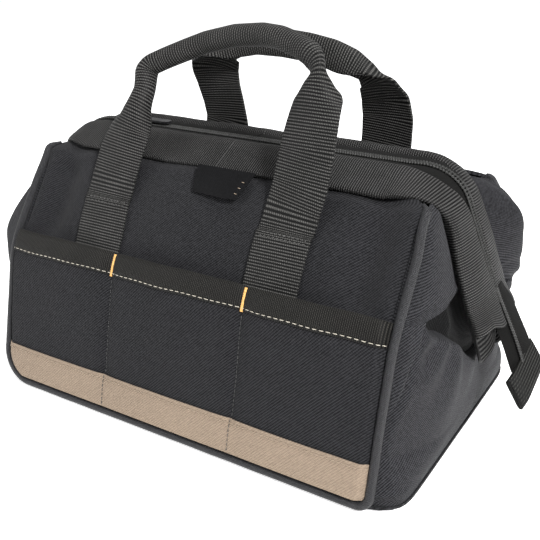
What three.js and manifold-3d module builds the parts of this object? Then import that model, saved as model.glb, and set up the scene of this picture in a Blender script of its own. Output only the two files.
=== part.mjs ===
import * as THREE from 'three';
import Module from 'manifold-3d';
import { mergeVertices } from 'three/addons/utils/BufferGeometryUtils.js';

// A wide-mouth zippered tool bag, closed, standing on its base.
// Millimetres, +Z up, +X towards one end of the bag, -Y towards its front.
// The origin is on the floor under the middle of the base.

const wasm = await Module();
wasm.setup();

const { cos, sin, tan, sqrt, abs, min, max, PI } = Math;
const radians = THREE.MathUtils.degToRad;

// Base and front and back walls
const bagLength = 300;
const baseDepth = 226;
const clothThickness = 2.5;
const floorThickness = 2.5;
const baseBoardThickness = 3;
const baseBoardInset = 6;
const cornerRadius = 20;
const lowerWallLength = 100;
const lowerWallLean = radians(12.4);
const upperWallLean = radians(33);
const topLapLength = 14;
const topTailDrop = radians(21);
const pipingRadius = 2.8;
const pipingTopLength = 150;
const gap = 0.35;

// Ends
const endSplitHeight = 79;
const endBulgeFoot = 30;
const endBulgeLow = 21;
const endBulgeHigh = 28;
const endFootSquareness = 6;
const endTopSquareness = 3;
const innerGussetWidth = 50;
const innerGussetFoot = 26;
const gussetBulge = 9;
const gussetSeamGap = 1;

// Mouth frame, its wire and the webbing sleeve round it
const wireRadius = 2.5;
const mouthHalfLength = 120;
const mouthCornerRadius = 32;
const legSplay = radians(22);
const legEndHeight = 84;
const frameOffset = 20;
const frameHeight = 180;
const frameTilt = radians(1.8);
const sleeveThickness = 1.7;
const sleeveClearance = 0.5;
const sleeveTailLength = 25;
const sleeveTailHalfThickness = 1.6;
const legTailTurn = radians(20);
const wireEndStep = 2;

// Zipper
const tapeThickness = 1;
const coilHeight = 2.6;
const coilWidth = 3.6;
const coilHalfGap = 0.8;
const ridgeRise = 9.5;
const legZipEndHeight = 97;
const tailTopHeight = 104;
const tailLength = 44;
const tailWidth = 30;
const tailThickness = 2.4;
const tabHeight = 21;
const tabWidth = 34;
const tabThickness = 6;

// Zipper slider and pull
const sliderLength = 14;
const sliderWidth = 10;
const sliderPlate = 1.5;
const sliderNeckLength = 3;
const sliderNeckWidth = 0.9;
const sliderParking = 16;
const crownHeight = 4.6;
const crownWidth = 2.6;
const crownLength = 6;
const crownWall = 1;
const pullLength = 30;
const pullWidth = 8;
const pullThickness = 1.4;
const pullSlotLength = 4.5;
const pullSlotWidth = 3.6;

// Handles
const webbingWidth = 38;
const webbingThickness = 1.8;
const handleRise = 109;
const handleReach = 54.8;
const gripHalfHeight = 8.5;
const gripHalfDepth = 6;
const handleRowLength = 151;
const handleAnchorStart = 103;
const handleSpacing = 144;
const backHandleRise = 96;
const backHandleReach = 27.5;

// Outside pockets and trim
const pocketBottom = 8;
const pocketTop = 110;
const pocketThickness = 1.6;
const pocketGapBottom = 0.5;
const pocketGapTop = 6.5;
const pocketSideInset = 1;
const bindingHeight = 14;
const bindingThickness = 1;
const dividerSpacing = 106;
const bartackWidth = 2.6;
const bartackLength = 13;
const bartackThickness = 0.8;
const kickStripHeight = 19;
const kickStripThickness = 1.2;
const labelWidth = 45;
const labelHeight = 17;
const labelThickness = 0.8;
const labelOffset = 12;
const labelDrop = 1;

const halfLength = bagLength / 2;
const hingeY = -baseDepth / 2;
const hingeZ = pipingRadius + 0.2;
const wallFace = clothThickness / 2;

// The upper wall ends where its lap lies under the sleeve's tail
const lapDepth = sleeveTailHalfThickness + gap + wallFace;
const bendDepth = baseDepth / 2 - lowerWallLength * sin(lowerWallLean);
const lapBack = bendDepth - frameOffset + lapDepth * sin(topTailDrop);
const lapRise = frameHeight - lapDepth * cos(topTailDrop) - hingeZ - lowerWallLength * cos(lowerWallLean);
const upperWallLength = (cos(topTailDrop) * lapRise - sin(topTailDrop) * lapBack)
  / cos(upperWallLean + topTailDrop);

const bag = new THREE.Group();

// Materials, one per mesh
const finishes = {
  cloth: { color: 0x3c3c41, roughness: 0.85, metalness: 0 },
  endCloth: { color: 0x46464a, roughness: 0.85, metalness: 0 },
  webbing: { color: 0x35352f, roughness: 0.8, metalness: 0 },
  binding: { color: 0x2c2b28, roughness: 0.8, metalness: 0 },
  tan: { color: 0xb49c84, roughness: 0.85, metalness: 0 },
  thread: { color: 0xebb464, roughness: 0.6, metalness: 0 },
  zipper: { color: 0x1f1f20, roughness: 0.6, metalness: 0 },
  patch: { color: 0x18181a, roughness: 0.75, metalness: 0 },
  board: { color: 0x202020, roughness: 0.7, metalness: 0 },
  steel: { color: 0x8c8f92, roughness: 0.35, metalness: 1 },
};

function place(name, geometry, finish) {
  const mesh = new THREE.Mesh(geometry, new THREE.MeshStandardMaterial(finishes[finish]));
  mesh.name = name;
  bag.add(mesh);
}

// Builds a closed body from vertices and faces, with its faces pointing out
function closedBody(points, faces) {
  let volume = 0;
  for (const [a, b, c] of faces) {
    volume += points[a].dot(new THREE.Vector3().crossVectors(points[b], points[c])) / 6;
  }
  const index = faces.flatMap(([a, b, c]) => (volume > 0 ? [a, b, c] : [a, c, b]));
  const geometry = new THREE.BufferGeometry();
  geometry.setAttribute('position', new THREE.Float32BufferAttribute(points.flatMap((p) => [p.x, p.y, p.z]), 3));
  geometry.setIndex(index);
  geometry.computeVertexNormals();
  return geometry;
}

// A thin sheet between two grids of points, closed along its border
function sheet(outer, inner) {
  const rows = outer.length;
  const cols = outer[0].length;
  const points = [...outer.flat(), ...inner.flat()];
  const at = (side, row, col) => side * rows * cols + row * cols + col;
  const faces = [];
  const quad = (a, b, c, d) => faces.push([a, b, c], [a, c, d]);
  for (let row = 0; row + 1 < rows; row += 1) {
    for (let col = 0; col + 1 < cols; col += 1) {
      quad(at(0, row, col), at(0, row, col + 1), at(0, row + 1, col + 1), at(0, row + 1, col));
      quad(at(1, row, col), at(1, row + 1, col), at(1, row + 1, col + 1), at(1, row, col + 1));
    }
    quad(at(0, row, 0), at(0, row + 1, 0), at(1, row + 1, 0), at(1, row, 0));
    quad(at(0, row, cols - 1), at(1, row, cols - 1), at(1, row + 1, cols - 1), at(0, row + 1, cols - 1));
  }
  for (let col = 0; col + 1 < cols; col += 1) {
    quad(at(0, 0, col), at(1, 0, col), at(1, 0, col + 1), at(0, 0, col + 1));
    quad(at(0, rows - 1, col), at(0, rows - 1, col + 1), at(1, rows - 1, col + 1), at(1, rows - 1, col));
  }
  return closedBody(points, faces);
}

// A solid through a row of rings, closed at both ends round their centres
function loft(rings) {
  const sides = rings[0].length;
  const points = rings.flat();
  const faces = [];
  for (let ring = 0; ring + 1 < rings.length; ring += 1) {
    for (let side = 0; side < sides; side += 1) {
      const next = (side + 1) % sides;
      const a = ring * sides + side;
      const b = ring * sides + next;
      faces.push([a, b, b + sides], [a, b + sides, a + sides]);
    }
  }
  for (const ring of [0, rings.length - 1]) {
    const centre = new THREE.Vector3();
    rings[ring].forEach((p) => centre.addScaledVector(p, 1 / sides));
    points.push(centre);
    for (let side = 0; side < sides; side += 1) {
      const a = ring * sides + side;
      const b = ring * sides + ((side + 1) % sides);
      faces.push(ring === 0 ? [points.length - 1, b, a] : [points.length - 1, a, b]);
    }
  }
  return closedBody(points, faces);
}

// A sleeve with a bore: outer and inner rings joined at both ends
function boredLoft(outerRings, innerRings) {
  const sides = outerRings[0].length;
  const count = outerRings.length;
  const points = [...outerRings.flat(), ...innerRings.flat()];
  const at = (skin, ring, side) => skin * count * sides + ring * sides + (side % sides);
  const faces = [];
  const quad = (a, b, c, d) => faces.push([a, b, c], [a, c, d]);
  for (let side = 0; side < sides; side += 1) {
    for (let ring = 0; ring + 1 < count; ring += 1) {
      quad(at(0, ring, side), at(0, ring, side + 1), at(0, ring + 1, side + 1), at(0, ring + 1, side));
      quad(at(1, ring, side), at(1, ring + 1, side), at(1, ring + 1, side + 1), at(1, ring, side + 1));
    }
    quad(at(0, 0, side), at(1, 0, side), at(1, 0, side + 1), at(0, 0, side + 1));
    quad(at(0, count - 1, side), at(0, count - 1, side + 1), at(1, count - 1, side + 1), at(1, count - 1, side));
  }
  return closedBody(points, faces);
}

// Copies a body to the other end (x) or to the back (y) of the bag
function mirrored(geometry, flipX, flipY) {
  const copy = geometry.clone();
  copy.scale(flipX ? -1 : 1, flipY ? -1 : 1, 1);
  if (flipX !== flipY) {
    const index = copy.getIndex();
    for (let i = 0; i < index.count; i += 3) {
      const held = index.getX(i + 1);
      index.setX(i + 1, index.getX(i + 2));
      index.setX(i + 2, held);
    }
  }
  return copy;
}

// Extrudes a section drawn in the YZ plane along X
function alongX(section, fromX, toX) {
  const shape = new THREE.Shape(section.map(([y, z]) => new THREE.Vector2(y, z)));
  const geometry = new THREE.ExtrudeGeometry(shape, { depth: toX - fromX, bevelEnabled: false });
  const turn = new THREE.Matrix4().makeBasis(
    new THREE.Vector3(0, 1, 0),
    new THREE.Vector3(0, 0, 1),
    new THREE.Vector3(1, 0, 0),
  );
  geometry.applyMatrix4(turn);
  geometry.translate(fromX, 0, 0);
  return indexed(geometry);
}

function indexed(geometry) {
  const bare = geometry.clone();
  bare.deleteAttribute('normal');
  bare.deleteAttribute('uv');
  const merged = mergeVertices(bare, 1e-4);
  merged.computeVertexNormals();
  return merged;
}

function toSolid(geometry) {
  const merged = indexed(geometry);
  return new wasm.Manifold(new wasm.Mesh({
    numProp: 3,
    vertProperties: new Float32Array(merged.attributes.position.array),
    triVerts: new Uint32Array(merged.index.array),
  }));
}

function toGeometry(solid) {
  const mesh = solid.getMesh();
  const geometry = new THREE.BufferGeometry();
  geometry.setAttribute('position', new THREE.BufferAttribute(new Float32Array(mesh.vertProperties), 3));
  geometry.setIndex(new THREE.BufferAttribute(new Uint32Array(mesh.triVerts), 1));
  geometry.computeVertexNormals();
  return geometry;
}

function boxAt(sizeX, sizeY, sizeZ, x, y, z) {
  const geometry = new THREE.BoxGeometry(sizeX, sizeY, sizeZ);
  geometry.translate(x, y, z);
  return geometry;
}

// The front wall's middle line as [length along it, lean of the stretch that ends there]
const wallStretches = [
  [lowerWallLength, lowerWallLean],
  [upperWallLength, upperWallLean],
  [topLapLength, PI / 2 - topTailDrop],
];

// A point on the front wall at length s up from its foot, offset outwards by n
function wallPoint(s, n) {
  let y = hingeY;
  let z = hingeZ;
  let left = s;
  let lean = wallStretches[0][1];
  let nextLean = lean;
  for (let i = 0; i < wallStretches.length; i += 1) {
    lean = wallStretches[i][1];
    nextLean = lean;
    const step = min(left, wallStretches[i][0]);
    y += step * sin(lean);
    z += step * cos(lean);
    left -= step;
    if (left <= 1e-9) {
      const atBend = abs(step - wallStretches[i][0]) < 1e-9 && i + 1 < wallStretches.length;
      nextLean = atBend ? wallStretches[i + 1][1] : lean;
      break;
    }
  }
  const middle = (lean + nextLean) / 2;
  const reach = n / cos((nextLean - lean) / 2);
  return [y - reach * cos(middle), z + reach * sin(middle)];
}

// A point offset from the straight lower stretch of the wall, also above its bend
function lowerPoint(s, n) {
  return [
    hingeY + s * sin(lowerWallLean) - n * cos(lowerWallLean),
    hingeZ + s * cos(lowerWallLean) + n * sin(lowerWallLean),
  ];
}

const lowerWallTopHeight = hingeZ + lowerWallLength * cos(lowerWallLean);

// How far the front seam lies behind the front at a height, as a positive half depth
function halfDepthAt(z) {
  const lower = min(z, lowerWallTopHeight) - hingeZ;
  const upper = max(z - lowerWallTopHeight, 0);
  return -hingeY - lower * tan(lowerWallLean) - upper * tan(upperWallLean);
}

// Half the wall's width at length s: round bottom corners, drawn in under the sleeve
const footLength = pipingRadius + gap;
const wallLength = lowerWallLength + upperWallLength + topLapLength;
const drawnIn = [[pipingTopLength, 0], [160, 8], [170, 20], [176, 31], [wallLength, 34]];
function wallHalfWidth(s) {
  const left = max(cornerRadius + footLength - s, 0);
  if (left > 0) {
    return halfLength - cornerRadius + sqrt(cornerRadius ** 2 - left ** 2);
  }
  for (let i = drawnIn.length - 1; i > 0; i -= 1) {
    const [s0, d0] = drawnIn[i - 1];
    const [s1, d1] = drawnIn[i];
    if (s > s0) {
      return halfLength - d0 - ((d1 - d0) * (s - s0)) / (s1 - s0);
    }
  }
  return halfLength;
}

const cornerSteps = [0, 0.1, 0.3, 0.6, 1].map((share) => footLength + share * cornerRadius);

function wallRow(s, n, halfWidth) {
  const [y, z] = wallPoint(s, n);
  return [new THREE.Vector3(-halfWidth, y, z), new THREE.Vector3(halfWidth, y, z)];
}

function lowerRow(s, n, halfWidth) {
  const [y, z] = lowerPoint(s, n);
  return [new THREE.Vector3(-halfWidth, y, z), new THREE.Vector3(halfWidth, y, z)];
}

// Base: the bottom panel reaches out at both ends to carry the foot of the end cloth
const bottomHalfLength = halfLength - cornerRadius;
const bottomHalfDepth = -hingeY - pipingRadius - gap;
const acrossShares = [-1, -0.95, -0.85, -0.6, -0.3, 0, 0.3, 0.6, 0.85, 0.95, 1];
const footReach = (across) => endBulgeFoot * (1 - abs(across) ** endFootSquareness);
const bottomOutline = [1, -1].flatMap((side) => acrossShares.map((across) => new THREE.Vector2(
  side * (bottomHalfLength + footReach(across)),
  side * across * bottomHalfDepth,
)));
const bottom = new THREE.ExtrudeGeometry(
  new THREE.Shape(bottomOutline),
  { depth: floorThickness, bevelEnabled: false },
);
place('bottom_panel', indexed(bottom), 'cloth');

const boardBottom = floorThickness + gap;
place('base_board', boxAt(
  2 * (bottomHalfLength - baseBoardInset),
  2 * (bottomHalfDepth - baseBoardInset),
  baseBoardThickness,
  0,
  0,
  boardBottom + baseBoardThickness / 2,
), 'board');

// Lower end panels: the gusset cloth from the floor up to where it folds under the mouth
const lengthAtHeight = (z) => (z - hingeZ) / cos(lowerWallLean);
const endFootHeight = hingeZ + footLength * cos(lowerWallLean);
const endCornerHeight = hingeZ + (footLength + cornerRadius) * cos(lowerWallLean);

function endBulge(z) {
  if (z < endCornerHeight) {
    const share = (z - endFootHeight) / (endCornerHeight - endFootHeight);
    return endBulgeFoot + (endBulgeLow - endBulgeFoot) * share;
  }
  const share = (z - endCornerHeight) / (endSplitHeight - endCornerHeight);
  return endBulgeLow + (endBulgeHigh - endBulgeLow) * share;
}

// The foot rounds up with the wall's corner at the seams and stands on the bottom panel between them
const endFootDrop = endFootHeight - floorThickness - gap;
function endPoint(across, z, inset) {
  const below = min(max(endCornerHeight - z, 0) / (endCornerHeight - endFootHeight), 1);
  const squareness = endTopSquareness + (endFootSquareness - endTopSquareness) * below;
  const seamShare = abs(across) ** squareness;
  const slope = Math.asin(below) * seamShare;
  const height = z - endFootDrop * below * (1 - seamShare) + inset * sin(slope);
  const halfDepth = halfDepthAt(height) - wallFace - gap;
  const x = wallHalfWidth(lengthAtHeight(z)) + endBulge(z) * (1 - seamShare);
  return new THREE.Vector3(x - inset * cos(slope), across * halfDepth, height);
}

const endCornerRows = [0, 0.1, 0.3, 0.6, 1].map((share) => (
  endFootHeight + share * (endCornerHeight - endFootHeight)
));
const endRows = [...endCornerRows, 40, 60, endSplitHeight];
const lowerEnd = sheet(
  endRows.map((z) => acrossShares.map((across) => endPoint(across, z, 0))),
  endRows.map((z) => acrossShares.map((across) => endPoint(across, z, clothThickness))),
);
place('right_end_panel', lowerEnd, 'endCloth');
place('left_end_panel', mirrored(lowerEnd, true, false), 'endCloth');

// Front and back walls
const wallRows = [
  ...cornerSteps,
  lowerWallLength,
  pipingTopLength,
  160,
  170,
  176,
  lowerWallLength + upperWallLength,
  wallLength,
];
const wall = sheet(
  wallRows.map((s) => wallRow(s, wallFace, wallHalfWidth(s))),
  wallRows.map((s) => wallRow(s, -wallFace, wallHalfWidth(s))),
);
place('front_panel', wall, 'cloth');
place('back_panel', mirrored(wall, false, true), 'cloth');

// Welt piping down one side seam, along the foot of the wall and up the other side
class PipingLine extends THREE.Curve {
  constructor() {
    super();
    const reach = cornerRadius + pipingRadius + gap;
    this.half = halfLength + pipingRadius + gap;
    this.stretches = [
      pipingTopLength - cornerRadius,
      (reach * PI) / 2,
      2 * (this.half - reach),
    ];
    this.radius = reach;
    this.total = 2 * (this.stretches[0] + this.stretches[1]) + this.stretches[2];
  }

  getPoint(t, target = new THREE.Vector3()) {
    const along = abs(t - 0.5) * this.total;
    const side = t < 0.5 ? -1 : 1;
    const flat = this.stretches[2] / 2;
    let x = along;
    let s = 0;
    if (along > flat && along <= flat + this.stretches[1]) {
      const turn = (along - flat) / this.radius;
      x = flat + this.radius * sin(turn);
      s = this.radius * (1 - cos(turn));
    } else if (along > flat) {
      x = this.half;
      s = this.radius + along - flat - this.stretches[1];
    }
    const [y, z] = wallPoint(max(s, 0), 0);
    return target.set(side * x, y, z);
  }
}

function roundTube(path, radius, sides, steps) {
  const ring = [];
  for (let i = 0; i < sides; i += 1) {
    const turn = (2 * PI * i) / sides;
    ring.push(new THREE.Vector2(radius * cos(turn), radius * sin(turn)));
  }
  const options = { extrudePath: path, steps, bevelEnabled: false };
  return indexed(new THREE.ExtrudeGeometry(new THREE.Shape(ring), options));
}

const piping = roundTube(new PipingLine(), pipingRadius, 8, 76);
place('front_piping', piping, 'cloth');
place('back_piping', mirrored(piping, false, true), 'cloth');

// Outside pockets, open at the top, with a bound edge and a kick strip over their foot
function pocketOffset(s) {
  const share = (s - pocketBottom) / (pocketTop - pocketBottom);
  return wallFace + pocketGapBottom + (pocketGapTop - pocketGapBottom) * share;
}

const pocketRows = [pocketBottom, 14, cornerRadius + footLength, pocketTop];
const pocketPanel = sheet(
  pocketRows.map((s) => lowerRow(s, pocketOffset(s) + pocketThickness, wallHalfWidth(s) - pocketSideInset)),
  pocketRows.map((s) => lowerRow(s, pocketOffset(s), wallHalfWidth(s) - pocketSideInset)),
);
place('front_pocket_panel', pocketPanel, 'cloth');
place('back_pocket_panel', mirrored(pocketPanel, false, true), 'cloth');

const bindingFoot = pocketTop - bindingHeight;
function bindingPoint(s, side, skins) {
  const base = pocketOffset(min(s, pocketTop)) + (side > 0 ? pocketThickness + gap : -gap);
  return lowerPoint(s, base + side * skins * bindingThickness);
}
const bindingRim = pocketTop + gap;
const binding = alongX([
  bindingPoint(bindingFoot, 1, 0),
  bindingPoint(bindingFoot, 1, 1),
  bindingPoint(bindingRim + bindingThickness, 1, 1),
  bindingPoint(bindingRim + bindingThickness, -1, 1),
  bindingPoint(bindingFoot, -1, 1),
  bindingPoint(bindingFoot, -1, 0),
  bindingPoint(bindingRim, -1, 0),
  bindingPoint(bindingRim, 1, 0),
], -(halfLength - pocketSideInset), halfLength - pocketSideInset);
place('front_pocket_binding', binding, 'binding');
place('back_pocket_binding', mirrored(binding, false, true), 'binding');

const bartackFace = (s) => pocketOffset(s) + pocketThickness + 2 * gap + bindingThickness;
const bartackFoot = bindingFoot + (bindingHeight - bartackLength) / 2;
for (const side of [-1, 1]) {
  const x = (side * dividerSpacing) / 2;
  const bartack = alongX([
    lowerPoint(bartackFoot, bartackFace(bartackFoot)),
    lowerPoint(bartackFoot, bartackFace(bartackFoot) + bartackThickness),
    lowerPoint(bartackFoot + bartackLength, bartackFace(bartackFoot + bartackLength) + bartackThickness),
    lowerPoint(bartackFoot + bartackLength, bartackFace(bartackFoot + bartackLength)),
  ], x - bartackWidth / 2, x + bartackWidth / 2);
  const end = side > 0 ? 'right' : 'left';
  place(`front_${end}_bartack`, bartack, 'thread');
  place(`back_${end}_bartack`, mirrored(bartack, false, true), 'thread');
}

const kickRows = [pocketBottom, 14, cornerRadius + footLength, pocketBottom + kickStripHeight];
const kickOffset = (s) => pocketOffset(s) + pocketThickness + gap;
const kickStrip = sheet(
  kickRows.map((s) => lowerRow(s, kickOffset(s) + kickStripThickness, wallHalfWidth(s) - pocketSideInset)),
  kickRows.map((s) => lowerRow(s, kickOffset(s), wallHalfWidth(s) - pocketSideInset)),
);
place('front_kick_strip', kickStrip, 'tan');
place('back_kick_strip', mirrored(kickStrip, false, true), 'tan');

const patchFace = wallFace + gap;
const labelTop = lowerWallLength + upperWallLength - labelDrop;
place('front_patch', alongX([
  wallPoint(labelTop - labelHeight, patchFace),
  wallPoint(labelTop - labelHeight, patchFace + labelThickness),
  wallPoint(labelTop, patchFace + labelThickness),
  wallPoint(labelTop, patchFace),
], labelOffset - labelWidth / 2, labelOffset + labelWidth / 2), 'patch');

// Sewn ends of the handle webbing, from behind the pocket's rim up to the stitch row
const webbingFace = wallFace + gap;
const webbingMiddle = webbingFace + webbingThickness / 2;
for (const side of [-1, 1]) {
  const x = (side * handleSpacing) / 2;
  const anchor = alongX([
    wallPoint(handleAnchorStart, webbingFace),
    wallPoint(handleAnchorStart, webbingFace + webbingThickness),
    wallPoint(handleRowLength, webbingFace + webbingThickness),
    wallPoint(handleRowLength, webbingFace),
  ], x - webbingWidth / 2, x + webbingWidth / 2);
  const end = side > 0 ? 'right' : 'left';
  place(`front_${end}_handle_anchor`, anchor, 'webbing');
  place(`back_${end}_handle_anchor`, mirrored(anchor, false, true), 'webbing');
}

// The mouth frame's line: half of the top bar, a round corner and a splayed leg
const cornerTurn = PI / 2 - legSplay;
const cornerEndX = mouthHalfLength + mouthCornerRadius * sin(cornerTurn);
const cornerDrop = mouthCornerRadius * (1 - cos(cornerTurn));
const cornerLength = mouthCornerRadius * cornerTurn;
const legLength = (frameHeight - cornerDrop - legEndHeight) / cos(legSplay);
const frameHalfTotal = mouthHalfLength + cornerLength + legLength;

// Point and direction on the right half at a length from the middle of the top bar
function framePoint(along) {
  let x = along;
  let drop = 0;
  let turn = 0;
  if (along > mouthHalfLength + cornerLength) {
    const leg = along - mouthHalfLength - cornerLength;
    x = cornerEndX + leg * sin(legSplay);
    drop = cornerDrop + leg * cos(legSplay);
    turn = cornerTurn;
  } else if (along > mouthHalfLength) {
    turn = (along - mouthHalfLength) / mouthCornerRadius;
    x = mouthHalfLength + mouthCornerRadius * sin(turn);
    drop = mouthCornerRadius * (1 - cos(turn));
  }
  const point = new THREE.Vector3(x, -frameOffset + drop * tan(frameTilt), frameHeight - drop);
  const direction = new THREE.Vector3(cos(turn), sin(turn) * tan(frameTilt), -sin(turn)).normalize();
  return { point, direction, share: turn / cornerTurn };
}

class FrameLine extends THREE.Curve {
  getPoint(t, target = new THREE.Vector3()) {
    const along = (t - 0.5) * 2 * (frameHalfTotal - wireEndStep);
    const { point } = framePoint(abs(along));
    return target.set(along < 0 ? -point.x : point.x, point.y, point.z);
  }
}

const wire = roundTube(new FrameLine(), wireRadius, 8, 90);
place('front_frame_wire', wire, 'steel');
place('back_frame_wire', mirrored(wire, false, true), 'steel');

// The direction in which the sleeve's sewn tail leaves the wire, and its normal
function tailFrame({ direction, share }) {
  const topTail = new THREE.Vector3(0, -cos(topTailDrop), -sin(topTailDrop));
  const legTail = new THREE.Vector3(-sin(legTailTurn), -cos(legTailTurn), 0);
  const tail = topTail.lerp(legTail, share);
  tail.addScaledVector(direction, -tail.dot(direction)).normalize();
  const normal = new THREE.Vector3().crossVectors(direction, tail).normalize();
  return { tail, normal };
}

const boreRadius = wireRadius + sleeveClearance;
const roundRadius = boreRadius + sleeveThickness;

// The sleeve's section: a round over the wire and a flat tail, as [along tail, across] pairs
function sleeveSection() {
  const outer = [[sleeveTailLength, sleeveTailHalfThickness], [roundRadius + 3, sleeveTailHalfThickness]];
  for (let turn = 45; turn <= 315; turn += 45) {
    outer.push([roundRadius * cos(radians(turn)), roundRadius * sin(radians(turn))]);
  }
  outer.push([roundRadius + 3, -sleeveTailHalfThickness], [sleeveTailLength, -sleeveTailHalfThickness]);
  const inner = outer.map(([u, v]) => {
    const reach = boreRadius / sqrt(u * u + v * v);
    return [u * reach, v * reach];
  });
  return { outer, inner };
}

function sleeveRings(stations) {
  const { outer, inner } = sleeveSection();
  const ringAt = (along, section) => {
    const station = framePoint(along);
    const { tail, normal } = tailFrame(station);
    return section.map(([u, v]) => station.point.clone().addScaledVector(tail, u).addScaledVector(normal, v));
  };
  return boredLoft(
    stations.map((along) => ringAt(along, outer)),
    stations.map((along) => ringAt(along, inner)),
  );
}

const topSleeveHalf = mouthHalfLength - gap;
const topSleeve = (() => {
  const { outer, inner } = sleeveSection();
  const station = framePoint(0);
  const { tail, normal } = tailFrame(station);
  const ringAt = (x, section) => section.map(([u, v]) => station.point.clone()
    .addScaledVector(tail, u).addScaledVector(normal, v).setX(x));
  return boredLoft(
    [-topSleeveHalf, topSleeveHalf].map((x) => ringAt(x, outer)),
    [-topSleeveHalf, topSleeveHalf].map((x) => ringAt(x, inner)),
  );
})();
place('front_top_sleeve', topSleeve, 'webbing');
place('back_top_sleeve', mirrored(topSleeve, false, true), 'webbing');

const cornerShares = [0, 1, 2, 3, 4, 5, 6, 7].map((step) => step / 7);
const cornerStations = cornerShares.map((share) => mouthHalfLength + share * cornerLength);
const legSleeve = sleeveRings([...cornerStations, frameHalfTotal]);
for (const [flipX, end] of [[false, 'right'], [true, 'left']]) {
  place(`front_${end}_leg_sleeve`, mirrored(legSleeve, flipX, false), 'webbing');
  place(`back_${end}_leg_sleeve`, mirrored(legSleeve, flipX, true), 'webbing');
}

// Zipper halves: a tape from the sleeve and the coil on its edge, beside the middle plane
const tapeOuter = frameOffset - roundRadius - gap;
const tapeInner = coilHalfGap + 0.4;
const tapeTopHeight = frameHeight - 1;
const topTape = alongX([
  [-tapeOuter, tapeTopHeight - tapeThickness],
  [-tapeInner, tapeTopHeight - tapeThickness],
  [-tapeInner, tapeTopHeight],
  [-tapeOuter, tapeTopHeight],
], -topSleeveHalf, topSleeveHalf);
place('front_zipper_tape', topTape, 'zipper');
place('back_zipper_tape', mirrored(topTape, false, true), 'zipper');

const coilBottom = tapeTopHeight + gap;
const coilTop = coilBottom + coilHeight;
const coilOuter = coilHalfGap + coilWidth;
const topCoil = alongX([
  [-coilOuter, coilBottom],
  [-coilHalfGap, coilBottom],
  [-coilHalfGap, coilTop - 0.6],
  [-coilHalfGap - 0.6, coilTop],
  [-coilOuter + 0.6, coilTop],
  [-coilOuter, coilTop - 0.6],
], -topSleeveHalf, topSleeveHalf);
place('front_zipper_coil', topCoil, 'zipper');
place('back_zipper_coil', mirrored(topCoil, false, true), 'zipper');

// The zipper half along a corner and leg: it rises to a ridge over the middle plane
function legZipRing(along) {
  const station = framePoint(along);
  const rise = ridgeRise * station.share;
  const outward = station.direction.clone().cross(new THREE.Vector3(0, 1, 0)).normalize();
  const { point } = station;
  const base = point.clone().addScaledVector(outward, 1 - station.share);
  const near = base.clone().setY(-tapeOuter + (point.y + frameOffset));
  near.addScaledVector(outward, -tapeThickness / 2);
  const edge = base.clone().setY(-coilHalfGap).addScaledVector(outward, rise);
  return [
    near,
    edge.clone().addScaledVector(outward, -tapeThickness),
    edge.clone().addScaledVector(outward, coilHeight - tapeThickness),
    near.clone().addScaledVector(outward, tapeThickness),
  ];
}

const legZipEnd = mouthHalfLength + cornerLength
  + (frameHeight - cornerDrop - legZipEndHeight) / cos(legSplay);
const legZip = loft([...cornerStations.map((along) => along + gap), legZipEnd].map(legZipRing));
for (const [flipX, end] of [[false, 'right'], [true, 'left']]) {
  place(`front_${end}_zipper_side`, mirrored(legZip, flipX, false), 'zipper');
  place(`back_${end}_zipper_side`, mirrored(legZip, flipX, true), 'zipper');
}

// Upper gussets: the cloth between a wall's side seam and the leg sleeve
const gussetRows = [endSplitHeight + 2, 100, 120, 140, 156, 162];
const gussetAcross = [0, 0.25, 0.5, 0.75, 1];
function gussetPoint(share, z, inset) {
  const legAlong = mouthHalfLength + cornerLength + max(frameHeight - cornerDrop - z, 0) / cos(legSplay);
  const station = framePoint(min(legAlong, frameHalfTotal));
  const { tail } = tailFrame(station);
  const sleeveEdge = station.point.clone().addScaledVector(tail, sleeveTailLength + gussetSeamGap);
  const seamLength = lowerWallLength + (z - lowerWallTopHeight) / cos(upperWallLean);
  const seam = new THREE.Vector3(wallHalfWidth(seamLength), -halfDepthAt(z) + wallFace + gap, z);
  const point = seam.clone().lerp(sleeveEdge.setZ(z), share);
  const width = seam.distanceTo(sleeveEdge);
  point.x += (4 * share * (1 - share) * gussetBulge * width) / 50 - inset;
  return point;
}
const gusset = sheet(
  gussetRows.map((z) => gussetAcross.map((share) => gussetPoint(share, z, 0))),
  gussetRows.map((z) => gussetAcross.map((share) => gussetPoint(share, z, clothThickness))),
);
for (const [flipX, end] of [[false, 'right'], [true, 'left']]) {
  place(`${end}_front_gusset`, mirrored(gusset, flipX, false), 'endCloth');
  place(`${end}_back_gusset`, mirrored(gusset, flipX, true), 'endCloth');
}

// Inner gussets: the tucked-in cloth that unfolds upwards as the mouth opens
const innerRows = [0, 0.33, 0.67, 1].map((share) => (
  innerGussetFoot + share * (endSplitHeight - innerGussetFoot)
));
const innerAcross = [-1, -0.5, 0, 0.5, 1];
function innerPoint(across, z, inset) {
  const y = (across * innerGussetWidth) / 2;
  const outer = endPoint(y / (halfDepthAt(z) - wallFace - gap), z, 0);
  return new THREE.Vector3(outer.x - clothThickness - 2 * gap - inset, y, z);
}
const innerGusset = sheet(
  innerRows.map((z) => innerAcross.map((across) => innerPoint(across, z, 0))),
  innerRows.map((z) => innerAcross.map((across) => innerPoint(across, z, clothThickness))),
);
place('right_inner_gusset', innerGusset, 'endCloth');
place('left_inner_gusset', mirrored(innerGusset, true, false), 'endCloth');

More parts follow.
